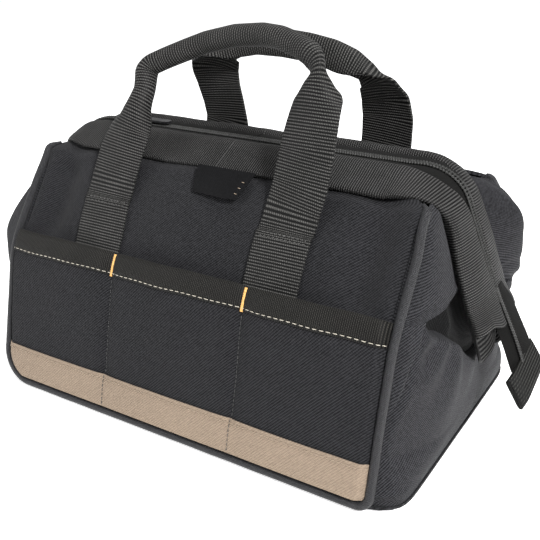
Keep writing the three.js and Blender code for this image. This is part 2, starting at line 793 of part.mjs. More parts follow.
// The free tail of the closed zipper past the sleeves, and the folded webbing tab on its end
const tailStandOff = 2.5 * gap;
const ridgeFace = (ridgeRise + coilHeight - tapeThickness + tailStandOff) / cos(legSplay);
const tailX = (z) => cornerEndX + (frameHeight - cornerDrop - z) * tan(legSplay) + ridgeFace;
const tailBottom = tailTopHeight - tailLength;
const tail = loft([tailTopHeight, tailTopHeight - tailLength / 2, tailBottom].map((z) => [
  new THREE.Vector3(tailX(z), -tailWidth / 2, z),
  new THREE.Vector3(tailX(z), tailWidth / 2, z),
  new THREE.Vector3(tailX(z) + tapeThickness, tailWidth / 2, z),
  new THREE.Vector3(tailX(z) + tailThickness, 0, z),
  new THREE.Vector3(tailX(z) + tapeThickness, -tailWidth / 2, z),
]));
place('right_zipper_tail', tail, 'zipper');
place('left_zipper_tail', mirrored(tail, true, false), 'zipper');

const tabTop = tailBottom - gap;
const tab = loft([0, 0.1, 0.85, 1].map((share) => {
  const z = tabTop - share * tabHeight;
  const half = share === 1 ? tabThickness / 4 : tabThickness / 2;
  const middle = tailX(tabTop) + tapeThickness / 2 + share * tabHeight * tan(legSplay / 2);
  return [
    new THREE.Vector3(middle - half, -tabWidth / 2, z),
    new THREE.Vector3(middle - half, tabWidth / 2, z),
    new THREE.Vector3(middle + half, tabWidth / 2, z),
    new THREE.Vector3(middle + half, -tabWidth / 2, z),
  ];
}));
place('right_zipper_tab', tab, 'webbing');
place('left_zipper_tab', mirrored(tab, true, false), 'webbing');

// Zipper slider: plates over and under the coil, joined by a neck between its halves
const topPlateZ = coilTop + gap;
const bottomPlateZ = tapeTopHeight - tapeThickness - gap;
const sliderStart = sliderParking - mouthHalfLength;
const sliderEnd = sliderStart + sliderLength / 2;
const sliderPlates = [topPlateZ + sliderPlate / 2, bottomPlateZ - sliderPlate / 2];
const neckHeight = topPlateZ - bottomPlateZ + sliderPlate;
const crownMiddle = sliderStart + 1;
const crownSide = new THREE.Shape([
  new THREE.Vector2(-crownLength / 2, 0),
  new THREE.Vector2(crownLength / 2, 0),
  new THREE.Vector2(crownLength / 2, crownHeight - crownWall),
  new THREE.Vector2(crownLength / 2 - crownWall, crownHeight),
  new THREE.Vector2(-crownLength / 2 + crownWall, crownHeight),
  new THREE.Vector2(-crownLength / 2, crownHeight - crownWall),
]);
crownSide.holes.push(new THREE.Path([
  new THREE.Vector2(-crownLength / 2 + crownWall, crownWall),
  new THREE.Vector2(-crownLength / 2 + crownWall, crownHeight - crownWall),
  new THREE.Vector2(crownLength / 2 - crownWall, crownHeight - crownWall),
  new THREE.Vector2(crownLength / 2 - crownWall, crownWall),
]));
const crown = new THREE.ExtrudeGeometry(crownSide, { depth: crownWidth, bevelEnabled: false });
crown.rotateX(PI / 2);
crown.translate(crownMiddle, crownWidth / 2, topPlateZ + sliderPlate - crownWall);
const slider = toSolid(boxAt(sliderLength, sliderWidth, sliderPlate, sliderStart, 0, sliderPlates[0]))
  .add(toSolid(boxAt(sliderLength, sliderWidth, sliderPlate, sliderStart, 0, sliderPlates[1])))
  .add(toSolid(boxAt(
    sliderNeckLength,
    sliderNeckWidth,
    neckHeight,
    sliderEnd - sliderNeckLength / 2,
    0,
    (topPlateZ + bottomPlateZ) / 2,
  )))
  .add(toSolid(crown));
place('zipper_slider', toGeometry(slider), 'steel');

// The pull: a plate whose end bar passes through the slider's crown
const pullPivotZ = topPlateZ + sliderPlate + (crownHeight - 2 * crownWall) / 2;
const pullBar = pullThickness;
const pullOutline = new THREE.Shape([
  new THREE.Vector2(-pullBar / 2, -pullWidth / 2),
  new THREE.Vector2(pullLength - 3, -pullWidth / 2),
  new THREE.Vector2(pullLength, -pullWidth / 4),
  new THREE.Vector2(pullLength, pullWidth / 4),
  new THREE.Vector2(pullLength - 3, pullWidth / 2),
  new THREE.Vector2(-pullBar / 2, pullWidth / 2),
]);
pullOutline.holes.push(new THREE.Path([
  new THREE.Vector2(pullBar / 2, -pullSlotWidth / 2),
  new THREE.Vector2(pullBar / 2, pullSlotWidth / 2),
  new THREE.Vector2(pullBar / 2 + pullSlotLength, pullSlotWidth / 2),
  new THREE.Vector2(pullBar / 2 + pullSlotLength, -pullSlotWidth / 2),
]));
const pull = new THREE.ExtrudeGeometry(pullOutline, { depth: pullThickness, bevelEnabled: false });
pull.translate(crownMiddle, 0, pullPivotZ - pullThickness / 2);
place('zipper_pull', indexed(pull), 'steel');

// A carrying handle: webbing legs standing from the stitch row, folded into a round grip.
// Each station on the right half is [share of spacing, of reach, of rise, half width, half thickness].
const [rowY, rowZ] = wallPoint(handleRowLength + 2 * gap, webbingMiddle);
const legHalf = webbingWidth / 2;
const strapHalf = webbingThickness / 2;
const handleStations = [
  [1, 0, 0, legHalf, strapHalf],
  [1, 0.27, 0.257, legHalf, strapHalf],
  [0.958, 0.443, 0.486, legHalf, strapHalf],
  [0.917, 0.608, 0.706, 0.9 * legHalf, 1.5 * strapHalf],
  [0.847, 0.754, 0.844, (legHalf + gripHalfHeight) / 2, gripHalfDepth / 2],
  [0.694, 0.881, 0.931, gripHalfHeight, 0.92 * gripHalfDepth],
  [0.486, 0.954, 0.972, gripHalfHeight, gripHalfDepth],
  [0.236, 0.99, 1, gripHalfHeight, gripHalfDepth],
  [0, 1, 1.009, gripHalfHeight, gripHalfDepth],
];

function handleRing(stations, index) {
  const [x, y, z, halfWidth, halfThickness] = stations[index];
  const before = stations[max(index - 1, 0)];
  const after = stations[min(index + 1, stations.length - 1)];
  const along = new THREE.Vector3(after[0] - before[0], after[1] - before[1], after[2] - before[2]).normalize();
  const across = new THREE.Vector3(along.z, 0, -along.x).normalize();
  const through = new THREE.Vector3().crossVectors(along, across).normalize();
  const ring = [];
  const flat = halfThickness < gripHalfDepth / 2;
  for (let i = 0; i < 12; i += 1) {
    const turn = (2 * PI * (i + 0.5)) / 12;
    const u = halfWidth * (flat ? Math.sign(cos(turn)) * abs(cos(turn)) ** 0.35 : cos(turn));
    const v = halfThickness * (flat ? Math.sign(sin(turn)) * abs(sin(turn)) ** 0.2 : sin(turn));
    ring.push(new THREE.Vector3(x, y, z).addScaledVector(across, u).addScaledVector(through, v));
  }
  return ring;
}

function handle(reach, rise) {
  const right = handleStations.map(([across, reachShare, riseShare, a, b]) => (
    [(across * handleSpacing) / 2, rowY + reachShare * reach, rowZ + riseShare * rise, a, b]
  ));
  const left = right.slice(0, -1).reverse().map(([x, y, z, a, b]) => [-x, y, z, a, b]);
  const stations = [...right, ...left];
  return loft(stations.map((station, index) => handleRing(stations, index)));
}

place('front_handle', handle(handleReach, handleRise), 'webbing');
place('back_handle', mirrored(handle(backHandleReach, backHandleRise), false, true), 'webbing');

export default bag;
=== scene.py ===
from math import atan2, cos, hypot, pi, radians, sin, sqrt, tan

import bpy
import numpy as np
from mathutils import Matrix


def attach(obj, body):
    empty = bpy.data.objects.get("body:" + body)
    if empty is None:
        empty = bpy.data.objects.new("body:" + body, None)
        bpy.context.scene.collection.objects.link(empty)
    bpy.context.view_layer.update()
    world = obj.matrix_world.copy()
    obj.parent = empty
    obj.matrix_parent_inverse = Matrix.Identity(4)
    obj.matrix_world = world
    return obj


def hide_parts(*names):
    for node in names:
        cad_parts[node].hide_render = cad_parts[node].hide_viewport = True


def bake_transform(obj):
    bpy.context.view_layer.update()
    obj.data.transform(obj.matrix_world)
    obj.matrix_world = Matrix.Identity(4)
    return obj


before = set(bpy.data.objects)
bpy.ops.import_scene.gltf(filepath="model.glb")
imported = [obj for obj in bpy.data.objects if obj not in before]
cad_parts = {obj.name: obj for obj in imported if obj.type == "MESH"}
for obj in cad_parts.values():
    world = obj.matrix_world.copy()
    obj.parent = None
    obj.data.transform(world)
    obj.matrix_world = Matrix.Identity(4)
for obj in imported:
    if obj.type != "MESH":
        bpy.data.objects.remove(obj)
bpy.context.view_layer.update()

# Shapes are built in millimetres, in the frame of the CAD model
MM = 0.001
SIDES = (("front", 1), ("back", -1))
ENDS = (("right", 1), ("left", -1))

# Walls: half the length, the hinge at the foot, the lean below and above the bend, the rounded foot corners
HALF = 150.0
HINGE_Y, HINGE_Z = -113.0, 3.0
LEAN_LOW, LEAN_HIGH = radians(12.4), radians(33.0)
BEND = 100.0
CORNER = 20.0
RIGHT_CORNER = 5.0
FOOT = 3.15
WALL_TOP = 177.3
SEAM_TOP = 173.0
WALL_SEEDS = {"front": 3, "back": 17}

# The wall's cloth laps inwards under the sleeve, and its corners draw in on the way
LAP_LEAN = radians(21)
LAP = np.array([0, cos(LAP_LEAN), sin(LAP_LEAN)])
LAP_LEN, LAP_IN = 21, 0.19

# Mouth frame: straight top, turned corner and leg of the wire
MOUTH, TURN_R, SPLAY, TILT = 120.0, 32.0, radians(22), radians(1.8)
WIRE_Y, WIRE_Z = -20.0, 180.0
CORNER_TURN = pi / 2 - SPLAY
CORNER_LEN = TURN_R * CORNER_TURN
CORNER_DROP = TURN_R * (1 - cos(CORNER_TURN))
LEG_START = MOUTH + CORNER_LEN
LEG_END = 84.0
FRAME_LEN = LEG_START + (WIRE_Z - CORNER_DROP - LEG_END) / cos(SPLAY)
LEG_AXIS = np.array([-sin(radians(20)), -cos(radians(20)), 0])

PIPE = 2.8
WEB = 38.0
DIVIDER = 53.0
TOOTH = 1.8
WAVE_COUNT = 10


# Small numeric helpers
def smooth(a, b, t):
    t = np.clip((t - a) / (b - a), 0, 1)
    return t * t * (3 - 2 * t)


def bell(t, middle, width):
    return np.exp(-(((t - middle) / width) ** 2))


def unit(v):
    v = np.asarray(v, float)
    return v / np.maximum(np.linalg.norm(v, axis=-1, keepdims=True), 1e-9)


def square_to(axis, v):
    """The direction of v once what runs along axis is taken out of it."""
    return unit(v - axis * np.sum(v * axis, -1, keepdims=True))


def wall_normal(lean):
    return np.array([0, -cos(lean), sin(lean)])


def join(*columns):
    return np.stack(np.broadcast_arrays(*columns), -1)


def spaced(*runs):
    """Evenly spaced values in several runs (first, last, count), in order and each once."""
    return np.unique(np.concatenate([np.linspace(*run) for run in runs]))


def grid(rows, cols):
    return np.meshgrid(rows, cols, indexing="ij")


def waves(points, size, seed):
    """A smooth uneven field of about unit height over points, with features about size long."""
    rng = np.random.RandomState(seed)
    total = 0
    for _ in range(WAVE_COUNT):
        k = unit(rng.normal(size=3)) * (2 * pi / size) * rng.uniform(0.5, 1.3)
        total = total + rng.uniform(0.5, 1) * np.sin(points @ k + rng.uniform(0, 6.28))
    return total / sqrt(WAVE_COUNT)


def mirror(points, end, side):
    """Moves points of the right front quarter to another end (-1 left) or side (-1 back)."""
    return points * np.array([end, side, 1])


# The side profile of the front wall: its middle line, with an eased bend
PROFILE_STEP = 0.25
PROFILE_S = np.linspace(0, 200, 801)
PROFILE_LEAN = LEAN_LOW + (LEAN_HIGH - LEAN_LOW) * smooth(BEND - 17, BEND + 17, PROFILE_S)
PROFILE_Y = HINGE_Y + np.concatenate([[0], np.cumsum(PROFILE_STEP * np.sin(PROFILE_LEAN[:-1]))])
PROFILE_Z = HINGE_Z + np.concatenate([[0], np.cumsum(PROFILE_STEP * np.cos(PROFILE_LEAN[:-1]))])


def wall(x, s, n):
    """Point on the front wall at side position x, length s up from its foot, n out from its middle."""
    lean = np.interp(s, PROFILE_S, PROFILE_LEAN)
    y = np.interp(s, PROFILE_S, PROFILE_Y) - n * np.cos(lean)
    z = np.interp(s, PROFILE_S, PROFILE_Z) + n * np.sin(lean)
    return join(x, y, z)


def seam_depth(z):
    """Distance of a wall's side seam from the middle at height z."""
    return -np.interp(np.clip(z, HINGE_Z, SEAM_TOP), PROFILE_Z, PROFILE_Y)


def half_width(s, x):
    """Half the wall's length at s up its foot. The foot corners on the right are pressed squarer."""
    radius = np.where(x > 0, RIGHT_CORNER, CORNER)
    left = np.clip(radius + FOOT - s, 0, radius)
    return HALF - radius + np.sqrt(radius ** 2 - left ** 2)


def frame_line(along):
    """The mouth wire from the middle of its top: points, directions, share of the corner turned."""
    turn = np.clip((along - MOUTH) / TURN_R, 0, CORNER_TURN)
    leg = np.clip(along - LEG_START, 0, None)
    x = np.minimum(along, MOUTH) + TURN_R * np.sin(turn) + leg * sin(SPLAY)
    drop = TURN_R * (1 - np.cos(turn)) + leg * cos(SPLAY)
    point = join(x, WIRE_Y + drop * tan(TILT), WIRE_Z - drop)
    direction = unit(join(np.cos(turn), np.sin(turn) * tan(TILT), -np.sin(turn)))
    return point, direction, turn / CORNER_TURN


def sleeve_axes(direction, share):
    """Where a sleeve's two free edges point, and the way out of its face."""
    tail = square_to(direction, (LEG_AXIS + LAP) * share[..., None] - LAP)
    return tail, unit(np.cross(direction, tail))


# Mesh building
def put_object(name, data):
    obj = bpy.data.objects.new(name, data)
    bpy.context.scene.collection.objects.link(obj)
    return obj


def make(name, points, faces, uv, material):
    mesh = bpy.data.meshes.new(name)
    mesh.from_pydata((np.asarray(points) * MM).tolist(), [], faces)
    layer = mesh.uv_layers.new(name="cloth")
    loops = np.empty(len(mesh.loops), dtype=np.int32)
    mesh.loops.foreach_get("vertex_index", loops)
    layer.data.foreach_set("uv", (np.asarray(uv)[loops] * MM).ravel())
    mesh.polygons.foreach_set("use_smooth", [True] * len(mesh.polygons))
    mesh.materials.append(material)
    return put_object(name, mesh)


def grid_faces(rows, cols, start=0, closed=False, flip=False):
    faces = []
    for r in range(rows - 1):
        for c in range(cols if closed else cols - 1):
            a = start + r * cols + c
            b = start + r * cols + (c + 1) % cols
            quad = (a, b, b + cols, a + cols)
            faces.append(quad[::-1] if flip else quad)
    return faces


def rim_faces(start, size, flip):
    """Quads between an outer and an inner rim of size points each."""
    faces = []
    for i in range(size):
        j = (i + 1) % size
        quad = (start + i, start + size + i, start + size + j, start + j)
        faces.append(quad[::-1] if flip else quad)
    return faces


def skin(name, p, uv, thick, material, centre=(0, 0, 90)):
    """A cloth sheet from a grid of points on its outer face, thick millimetres through."""
    n = unit(np.cross(np.gradient(p, axis=1), np.gradient(p, axis=0)))
    flip = bool(np.sum(n * (p - centre)) < 0)
    q = p + n * thick if flip else p - n * thick
    rows, cols = p.shape[:2]
    count = rows * cols
    flat, inner, uvs = p.reshape(-1, 3), q.reshape(-1, 3), uv.reshape(-1, 2)
    faces = grid_faces(rows, cols, flip=flip) + grid_faces(rows, cols, count, flip=not flip)
    edge = list(range(cols)) + [r * cols + cols - 1 for r in range(1, rows)]
    edge += [count - 1 - c for c in range(1, cols)] + [r * cols for r in range(rows - 2, 0, -1)]
    faces += rim_faces(2 * count, len(edge), flip)
    points = np.concatenate([flat, inner, flat[edge], inner[edge]])
    uvs = np.concatenate([uvs, uvs, uvs[edge], uvs[edge]])
    return make(name, points, faces, uvs, material)


def cloth_uv(p):
    """Lengths along the columns and rows of a grid, so that a weave keeps its scale."""
    across = np.cumsum(np.linalg.norm(np.diff(p, axis=1), axis=2), axis=1)
    along = np.cumsum(np.linalg.norm(np.diff(p, axis=0), axis=2), axis=0)
    return join(np.pad(across, ((0, 0), (1, 0))), np.pad(along, ((1, 0), (0, 0))))


def loft(name, rings, uv, material, flip=False):
    """A closed tube through rings (rows, sides, 3), capped at both ends."""
    rows, sides = rings.shape[:2]
    points = rings.reshape(-1, 3)
    uvs = uv.reshape(-1, 2)
    faces = grid_faces(rows, sides, closed=True, flip=flip)
    for row in (0, rows - 1):
        base = len(points)
        points = np.concatenate([points, rings[row], rings[row].mean(0, keepdims=True)])
        uvs = np.concatenate([uvs, uv[row], uv[row].mean(0, keepdims=True)])
        for c in range(sides):
            tri = (base + sides, base + (c + 1) % sides, base + c)
            faces.append(tri[::-1] if (row > 0) != flip else tri)
    return make(name, points, faces, uvs, material)


def hollow(name, outer, inner, uv, material, flip=False):
    """A tube with a bore: outer and inner rings joined by rims at both ends."""
    rows, sides = outer.shape[:2]
    count = rows * sides
    points = np.concatenate([outer.reshape(-1, 3), inner.reshape(-1, 3)])
    uvs = np.concatenate([uv.reshape(-1, 2)] * 2)
    faces = grid_faces(rows, sides, closed=True, flip=flip)
    faces += grid_faces(rows, sides, count, closed=True, flip=not flip)
    for row in (0, rows - 1):
        base = len(points)
        points = np.concatenate([points, outer[row], inner[row]])
        uvs = np.concatenate([uvs, uv[row], uv[row]])
        faces += rim_faces(base, sides, (row > 0) != flip)
    return make(name, points, faces, uvs, material)


def sweep(path, up, section, scale):
    """Rings of a section [(across, out)] along a path, scaled along it, with out along up."""
    tangent = unit(np.gradient(path, axis=0))
    out = square_to(tangent, up)
    across = np.cross(out, tangent)
    sized = section[None] * scale[:, None, None]
    return path[:, None] + across[:, None] * sized[..., :1] + out[:, None] * sized[..., 1:]


def oval(rx, ry, sides):
    a = np.arange(sides) * 2 * pi / sides
    return join(rx * np.cos(a), ry * np.sin(a))


def length_of(path):
    return np.concatenate([[0], np.cumsum(np.linalg.norm(np.diff(path, axis=0), axis=1))])


def columns_at(at, t, table):
    """Each column of a table read at the lengths in at."""
    return join(*[np.interp(at, t, column) for column in np.asarray(table).T])


def resample(path, step, soft=6.0):
    """Points every step along a curve through path, its corners rounded over about soft."""
    path = np.asarray(path, float)
    width = max(int(soft / step), 1)
    kernel = np.ones(2 * width + 1) / (2 * width + 1)
    for _ in range(3):
        t = length_of(path[:, :3])
        even = columns_at(np.linspace(0, t[-1], max(int(t[-1] / step), 2)), t, path)
        before = 2 * even[0] - even[1:width + 1][::-1]
        after = 2 * even[-1] - even[-width - 1:-1][::-1]
        padded = np.concatenate([before, even, after])
        path = join(*[np.convolve(column, kernel, mode="valid") for column in padded.T])
    return path


def tube_uv(rings, along):
    step = np.linalg.norm(np.roll(rings, -1, axis=1) - rings, axis=2)
    around = np.concatenate([np.zeros((len(rings), 1)), np.cumsum(step, axis=1)[:, :-1]], axis=1)
    return join(along[:, None], around)


# A stitch is a grain of six-sided rings, given by their share along it and their size
GRAIN = [(-0.5, 0.35), (-0.36, 0.85), (0, 1.0), (0.36, 0.85), (0.5, 0.35)]
GRAIN_SIDES = 6


def grain_points(here, direction, side, out, length, radius):
    """Points of one stitch, arched so that its ends sink into the cloth."""
    points = []
    for share, size in GRAIN:
        for k in range(GRAIN_SIDES):
            a = k * 2 * pi / GRAIN_SIDES
            lift = size * sin(a) + 0.45 - 0.6 * (2 * share) ** 2
            middle = here + direction * share * length + out * radius * lift
            points.append(middle + side * radius * size * cos(a))
    return points


def grain_faces(base):
    last = base + (len(GRAIN) - 1) * GRAIN_SIDES
    faces = grid_faces(len(GRAIN), GRAIN_SIDES, base, closed=True)
    faces.append(tuple(base + k for k in reversed(range(GRAIN_SIDES))))
    faces.append(tuple(last + k for k in range(GRAIN_SIDES)))
    return faces


def stitches(name, path, up, length, pitch, radius, material, wobble=0.0, seed=1):
    """A row of thread stitches lying on a path with out along up, each turned by up to wobble."""
    t = length_of(path)
    rng = np.random.RandomState(seed)
    points, faces, uvs = [], [], []
    at = 0.0
    while at + length < t[-1]:
        middle = at + length / 2
        here = columns_at(middle, t, path)
        direction = unit(columns_at(middle + 0.5, t, path) - here)
        out = square_to(direction, up)
        tilt = rng.uniform(-wobble, wobble)
        direction = direction * cos(tilt) + np.cross(direction, out) * sin(tilt)
        faces += grain_faces(len(points))
        points += grain_points(here, direction, np.cross(direction, out), out, length, radius)
        uvs += [(share * length, k * radius) for share, _ in GRAIN for k in range(GRAIN_SIDES)]
        at += pitch
    return make(name, points, faces, uvs, material)


# Materials
class Shade:
    """A Principled material with a short way to add nodes."""

    def __init__(self, name, rough, metal=0.0, sheen=0.0, sheen_rough=0.4, spec=0.5):
        self.material = bpy.data.materials.new(name)
        self.material.use_nodes = True
        self.tree = self.material.node_tree
        self.shader = self.tree.nodes["Principled BSDF"]
        self.fill(self.shader, {"Roughness": rough, "Metallic": metal, "Sheen Weight": sheen,
                                "Sheen Roughness": sheen_rough, "Specular IOR Level": spec})

    def fill(self, node, inputs):
        """Links or sets each input of a node."""
        for key, value in inputs.items():
            if hasattr(value, "is_output"):
                self.tree.links.new(value, node.inputs[key])
            else:
                node.inputs[key].default_value = value

    def node(self, kind, inputs, **values):
        node = self.tree.nodes.new(kind)
        for key, value in values.items():
            setattr(node, key, value)
        self.fill(node, inputs)
        return node

    def math(self, operation, a, b=0.0, clamp=False):
        return self.node("ShaderNodeMath", {0: a, 1: b}, operation=operation, use_clamp=clamp).outputs[0]

    def add(self, a, b, clamp=False):
        return self.math("ADD", a, b, clamp)

    def times(self, a, b, clamp=False):
        return self.math("MULTIPLY", a, b, clamp)

    def line(self, ku, kv, phase=0.0):
        """Sine of a plane wave over the cloth, ku and kv in waves per metre."""
        cloth = self.node("ShaderNodeUVMap", {}, uv_map="cloth").outputs[0]
        wave = (ku * 2 * pi, kv * 2 * pi, 0)
        dot = self.node("ShaderNodeVectorMath", {0: cloth, 1: wave}, operation="DOT_PRODUCT")
        return self.math("SINE", self.add(dot.outputs["Value"], phase))

    def noise(self, scale, detail=3.0, rough=0.55, stretch=(1, 1, 1)):
        where = self.node("ShaderNodeTexCoord", {}).outputs["Object"]
        where = self.node("ShaderNodeMapping", {"Vector": where, "Scale": stretch}).outputs[0]
        inputs = {"Vector": where, "Scale": scale, "Detail": detail, "Roughness": rough}
        return self.node("ShaderNodeTexNoise", inputs).outputs["Fac"]

    def span(self, value, low, high, to_low=0.0, to_high=1.0):
        inputs = {"Value": value, "From Min": low, "From Max": high, "To Min": to_low, "To Max": to_high}
        return self.node("ShaderNodeMapRange", inputs).outputs["Result"]

    def color(self, factor, dark, light):
        """Base colour between dark and light."""
        mix = self.node("ShaderNodeMix", {"Factor": factor}, data_type="RGBA")
        for socket, value in zip([s for s in mix.inputs if s.type == "RGBA"], (dark, light)):
            socket.default_value = (*value, 1.0)
        mixed = [s for s in mix.outputs if s.type == "RGBA"][0]
        self.fill(self.shader, {"Base Color": mixed})

    def rough(self, value):
        self.fill(self.shader, {"Roughness": value})

    def bump(self, height, distance):
        """Adds the relief, which comes last, and hands back the material."""
        node = self.node("ShaderNodeBump", {"Height": height, "Distance": distance, "Strength": 1.0})
        self.fill(self.shader, {"Normal": node.outputs[0]})
        return self.material


def twill(name, dark, light, pitch=1.5, rough=0.78, sheen=0.03, depth=0.0002, contrast=1.0, spec=0.08):
    """Woven polyester: diagonal twill lines cut into short yarns, with faint wear and dust."""
    s = Shade(name, rough, sheen=sheen, sheen_rough=0.5, spec=spec)
    k = 1000 / pitch / sqrt(2)
    weave = s.add(s.times(s.line(k, -k), 0.6), s.times(s.line(k * 0.95, k * 1.6), 0.25))
    fine = s.span(s.noise(620, 3, 0.7), 0.30, 0.70)
    blotch = s.noise(14, 4, 0.6)
    # The weave and fine grain lighten the colour: partly yarn tone, partly painted glints of the weave's
    # sparkle.
    tone = s.add(s.times(weave, 0.42 * contrast), s.times(fine, 0.42))
    s.color(s.add(tone, s.times(blotch, 0.30), clamp=True), dark, light)
    s.rough(s.span(blotch, 0.3, 0.7, rough - 0.07, rough + 0.08))
    return s.bump(s.add(weave, s.times(fine, 0.5)), depth)


def webbing(name, dark, light, pitch, depth=0.0006, knots=1.5):
    """Webbing: round cross ribs, each broken into the knots of its yarns."""
    s = Shade(name, 0.6, sheen=0.02, spec=0.14)
    crest = s.span(s.line(1000 / pitch, 0), -0.35, 0.95)
    knot = s.span(s.line(500 / pitch, 1000 / knots, 0.4), -1, 1, 0.30, 1.0)
    height = s.times(crest, knot)
    worn = s.span(s.noise(60, 3, 0.6), 0.3, 0.7, 0.75, 1.1)
    fine = s.span(s.noise(1500, 2, 0.6), 0.3, 0.7, 0.75, 1.15)
    # Colour follows the rib relief: painted shade in the grooves between ribs and painted highlight on the
    # crests and knots, with worn and fine tone over it.
    s.color(s.times(s.times(height, worn), fine, clamp=True), dark, light)
    return s.bump(height, depth)


def thread(name, dark, light):
    s = Shade(name, 0.5, sheen=0.2)
    ply = s.span(s.line(1400, 2600), -1, 1)
    s.color(s.times(ply, s.noise(500, 2)), light, dark)
    return s.bump(ply, 0.00008)


def tape_cloth(name, dark, light):
    """Zipper tape: a fine herringbone."""
    s = Shade(name, 0.75, sheen=0.02, spec=0.08)
    bone = s.times(s.line(1000 / 1.1, 500 / 1.1), s.line(0, 1000 / 1.1))
    tone = s.add(s.times(bone, 0.35), s.times(s.noise(1200, 2), 0.7), clamp=True)
    s.color(tone, dark, light)
    return s.bump(tone, 0.00015)


def nylon(name, dark, light):
    s = Shade(name, 0.45, spec=0.25)
    s.color(s.noise(600, 2), dark, light)
    return s.material


def steel(name, color):
    s = Shade(name, 0.3, metal=1.0)
    grain = s.noise(300, 4, 0.6, (1, 60, 60))
    s.color(grain, tuple(c * 0.75 for c in color), color)
    s.rough(s.span(s.noise(40, 3), 0.3, 0.7, 0.22, 0.42))
    return s.bump(grain, 0.00003)


def board(name, color):
    s = Shade(name, 0.55)
    grain = s.noise(700, 3, 0.6)
    s.color(grain, tuple(c * 0.7 for c in color), tuple(c * 1.2 for c in color))
    return s.bump(grain, 0.0001)


def enamel(name, dark, chipped):
    s = Shade(name, 0.32, spec=0.5)
    s.color(s.span(s.noise(420, 4, 0.65), 0.62, 0.70), dark, chipped)
    s.rough(s.span(s.noise(90, 3), 0.3, 0.7, 0.24, 0.44))
    return s.bump(s.noise(500, 3), 0.00004)


CLOTH = twill("black_twill", (0.0015, 0.0015, 0.002), (0.031, 0.031, 0.034))
# The ends' cloth is the wall's black twill drawn lighter: painted light where the key lamp on the right falls
# on the ends.
END_WITH_PAINTED_LIGHT = twill("end_twill_painted_light", (0.002, 0.002, 0.0025), (0.050, 0.050, 0.055))
PIPING = twill("piping_twill", (0.002, 0.002, 0.0025), (0.033, 0.033, 0.037), pitch=1.0, rough=0.5, spec=0.25)
LINING = twill("lining_twill", (0.001, 0.001, 0.001), (0.008, 0.008, 0.0085), rough=0.7)
TAN = twill("tan_twill", (0.165, 0.125, 0.092), (0.305, 0.238, 0.178), sheen=0.05, rough=0.75, contrast=0.5)
PATCH = twill("patch_weave", (0.0008, 0.0008, 0.001), (0.006, 0.006, 0.007), pitch=0.9, rough=0.5,
              sheen=0.02, depth=0.0001)
WEBBING = webbing("strap_webbing", (0.0006, 0.0006, 0.0006), (0.098, 0.096, 0.091), 1.97)
SLEEVE = webbing("sleeve_webbing", (0.0006, 0.0006, 0.0006), (0.092, 0.090, 0.088), 1.6)
BINDING = webbing("binding_tape", (0.001, 0.001, 0.0008), (0.030, 0.028, 0.024), 1.3, knots=1.3, depth=0.0003)
TAB = webbing("tab_webbing", (0.002, 0.002, 0.002), (0.046, 0.046, 0.042), 2.0, knots=2.4)
# The zipper tape is drawn darker than the sleeves: partly its own dark colour, partly painted shade of the
# groove between the sleeves.
TAPE = tape_cloth("zipper_tape", (0.001, 0.001, 0.001), (0.010, 0.0098, 0.0092))
COIL = nylon("zipper_coil_nylon", (0.002, 0.002, 0.002), (0.045, 0.045, 0.043))
PALE_THREAD = thread("pale_thread", (0.18, 0.16, 0.125), (0.45, 0.415, 0.345))
GOLD_THREAD = thread("orange_thread", (0.36, 0.15, 0.03), (0.72, 0.40, 0.11))
TAN_THREAD = thread("tan_thread", (0.15, 0.11, 0.075), (0.30, 0.23, 0.165))
DARK_THREAD = thread("black_thread", (0.004, 0.004, 0.004), (0.03, 0.03, 0.03))
STRAP_THREAD = thread("strap_thread", (0.004, 0.004, 0.004), (0.035, 0.034, 0.031))
STEEL = steel("plated_steel", (0.42, 0.42, 0.43))
BOARD = board("stiffener_board", (0.02, 0.02, 0.02))
ENAMEL = enamel("black_enamel", (0.010, 0.010, 0.011), (0.16, 0.155, 0.145))


# The walls
def wall_bulge(x, s, seed):
    """How far a wall's cloth stands out: valley by its side, crown, soft waves, dipped seam."""
    edge = np.abs(x) - half_width(s, x)
    upper = smooth(104, 128, s)
    valley = -7.0 * bell(edge, -27, 12) * upper * (1 - 0.6 * smooth(158, 176, s))
    crown = 2.2 * (1 - (x / HALF) ** 4) * np.sin(pi * np.clip((s - BEND) / 78, 0, 1))
    seam = -4.6 * smooth(-6, -0.8, edge) * (1 - 0.8 * smooth(160, 175, s))
    p = join(x, s, 0.0)
    soft = 1.5 * waves(p * [1, 0.6, 1], 80, seed) + 0.45 * waves(p, 30, seed + 1)
    soft = soft * upper * (1 - 0.6 * smooth(160, 176, s))
    hem = 0.6 * np.sin(x / 9.0 + seed) * bell(s, 176, 8)
    return (valley + crown + soft) * (1 - bell(edge, 0, 6)) + seam + hem


def slouch(p, side):
    """Lets the top corners of the back wall sag outwards."""
    if side > 0:
        return p
    x, z = p[..., 0], p[..., 2]
    shift = 9 * np.sign(x) * bell(z, 152, 20) * smooth(95, 150, np.abs(x))
    return p + join(shift, 0, 0)


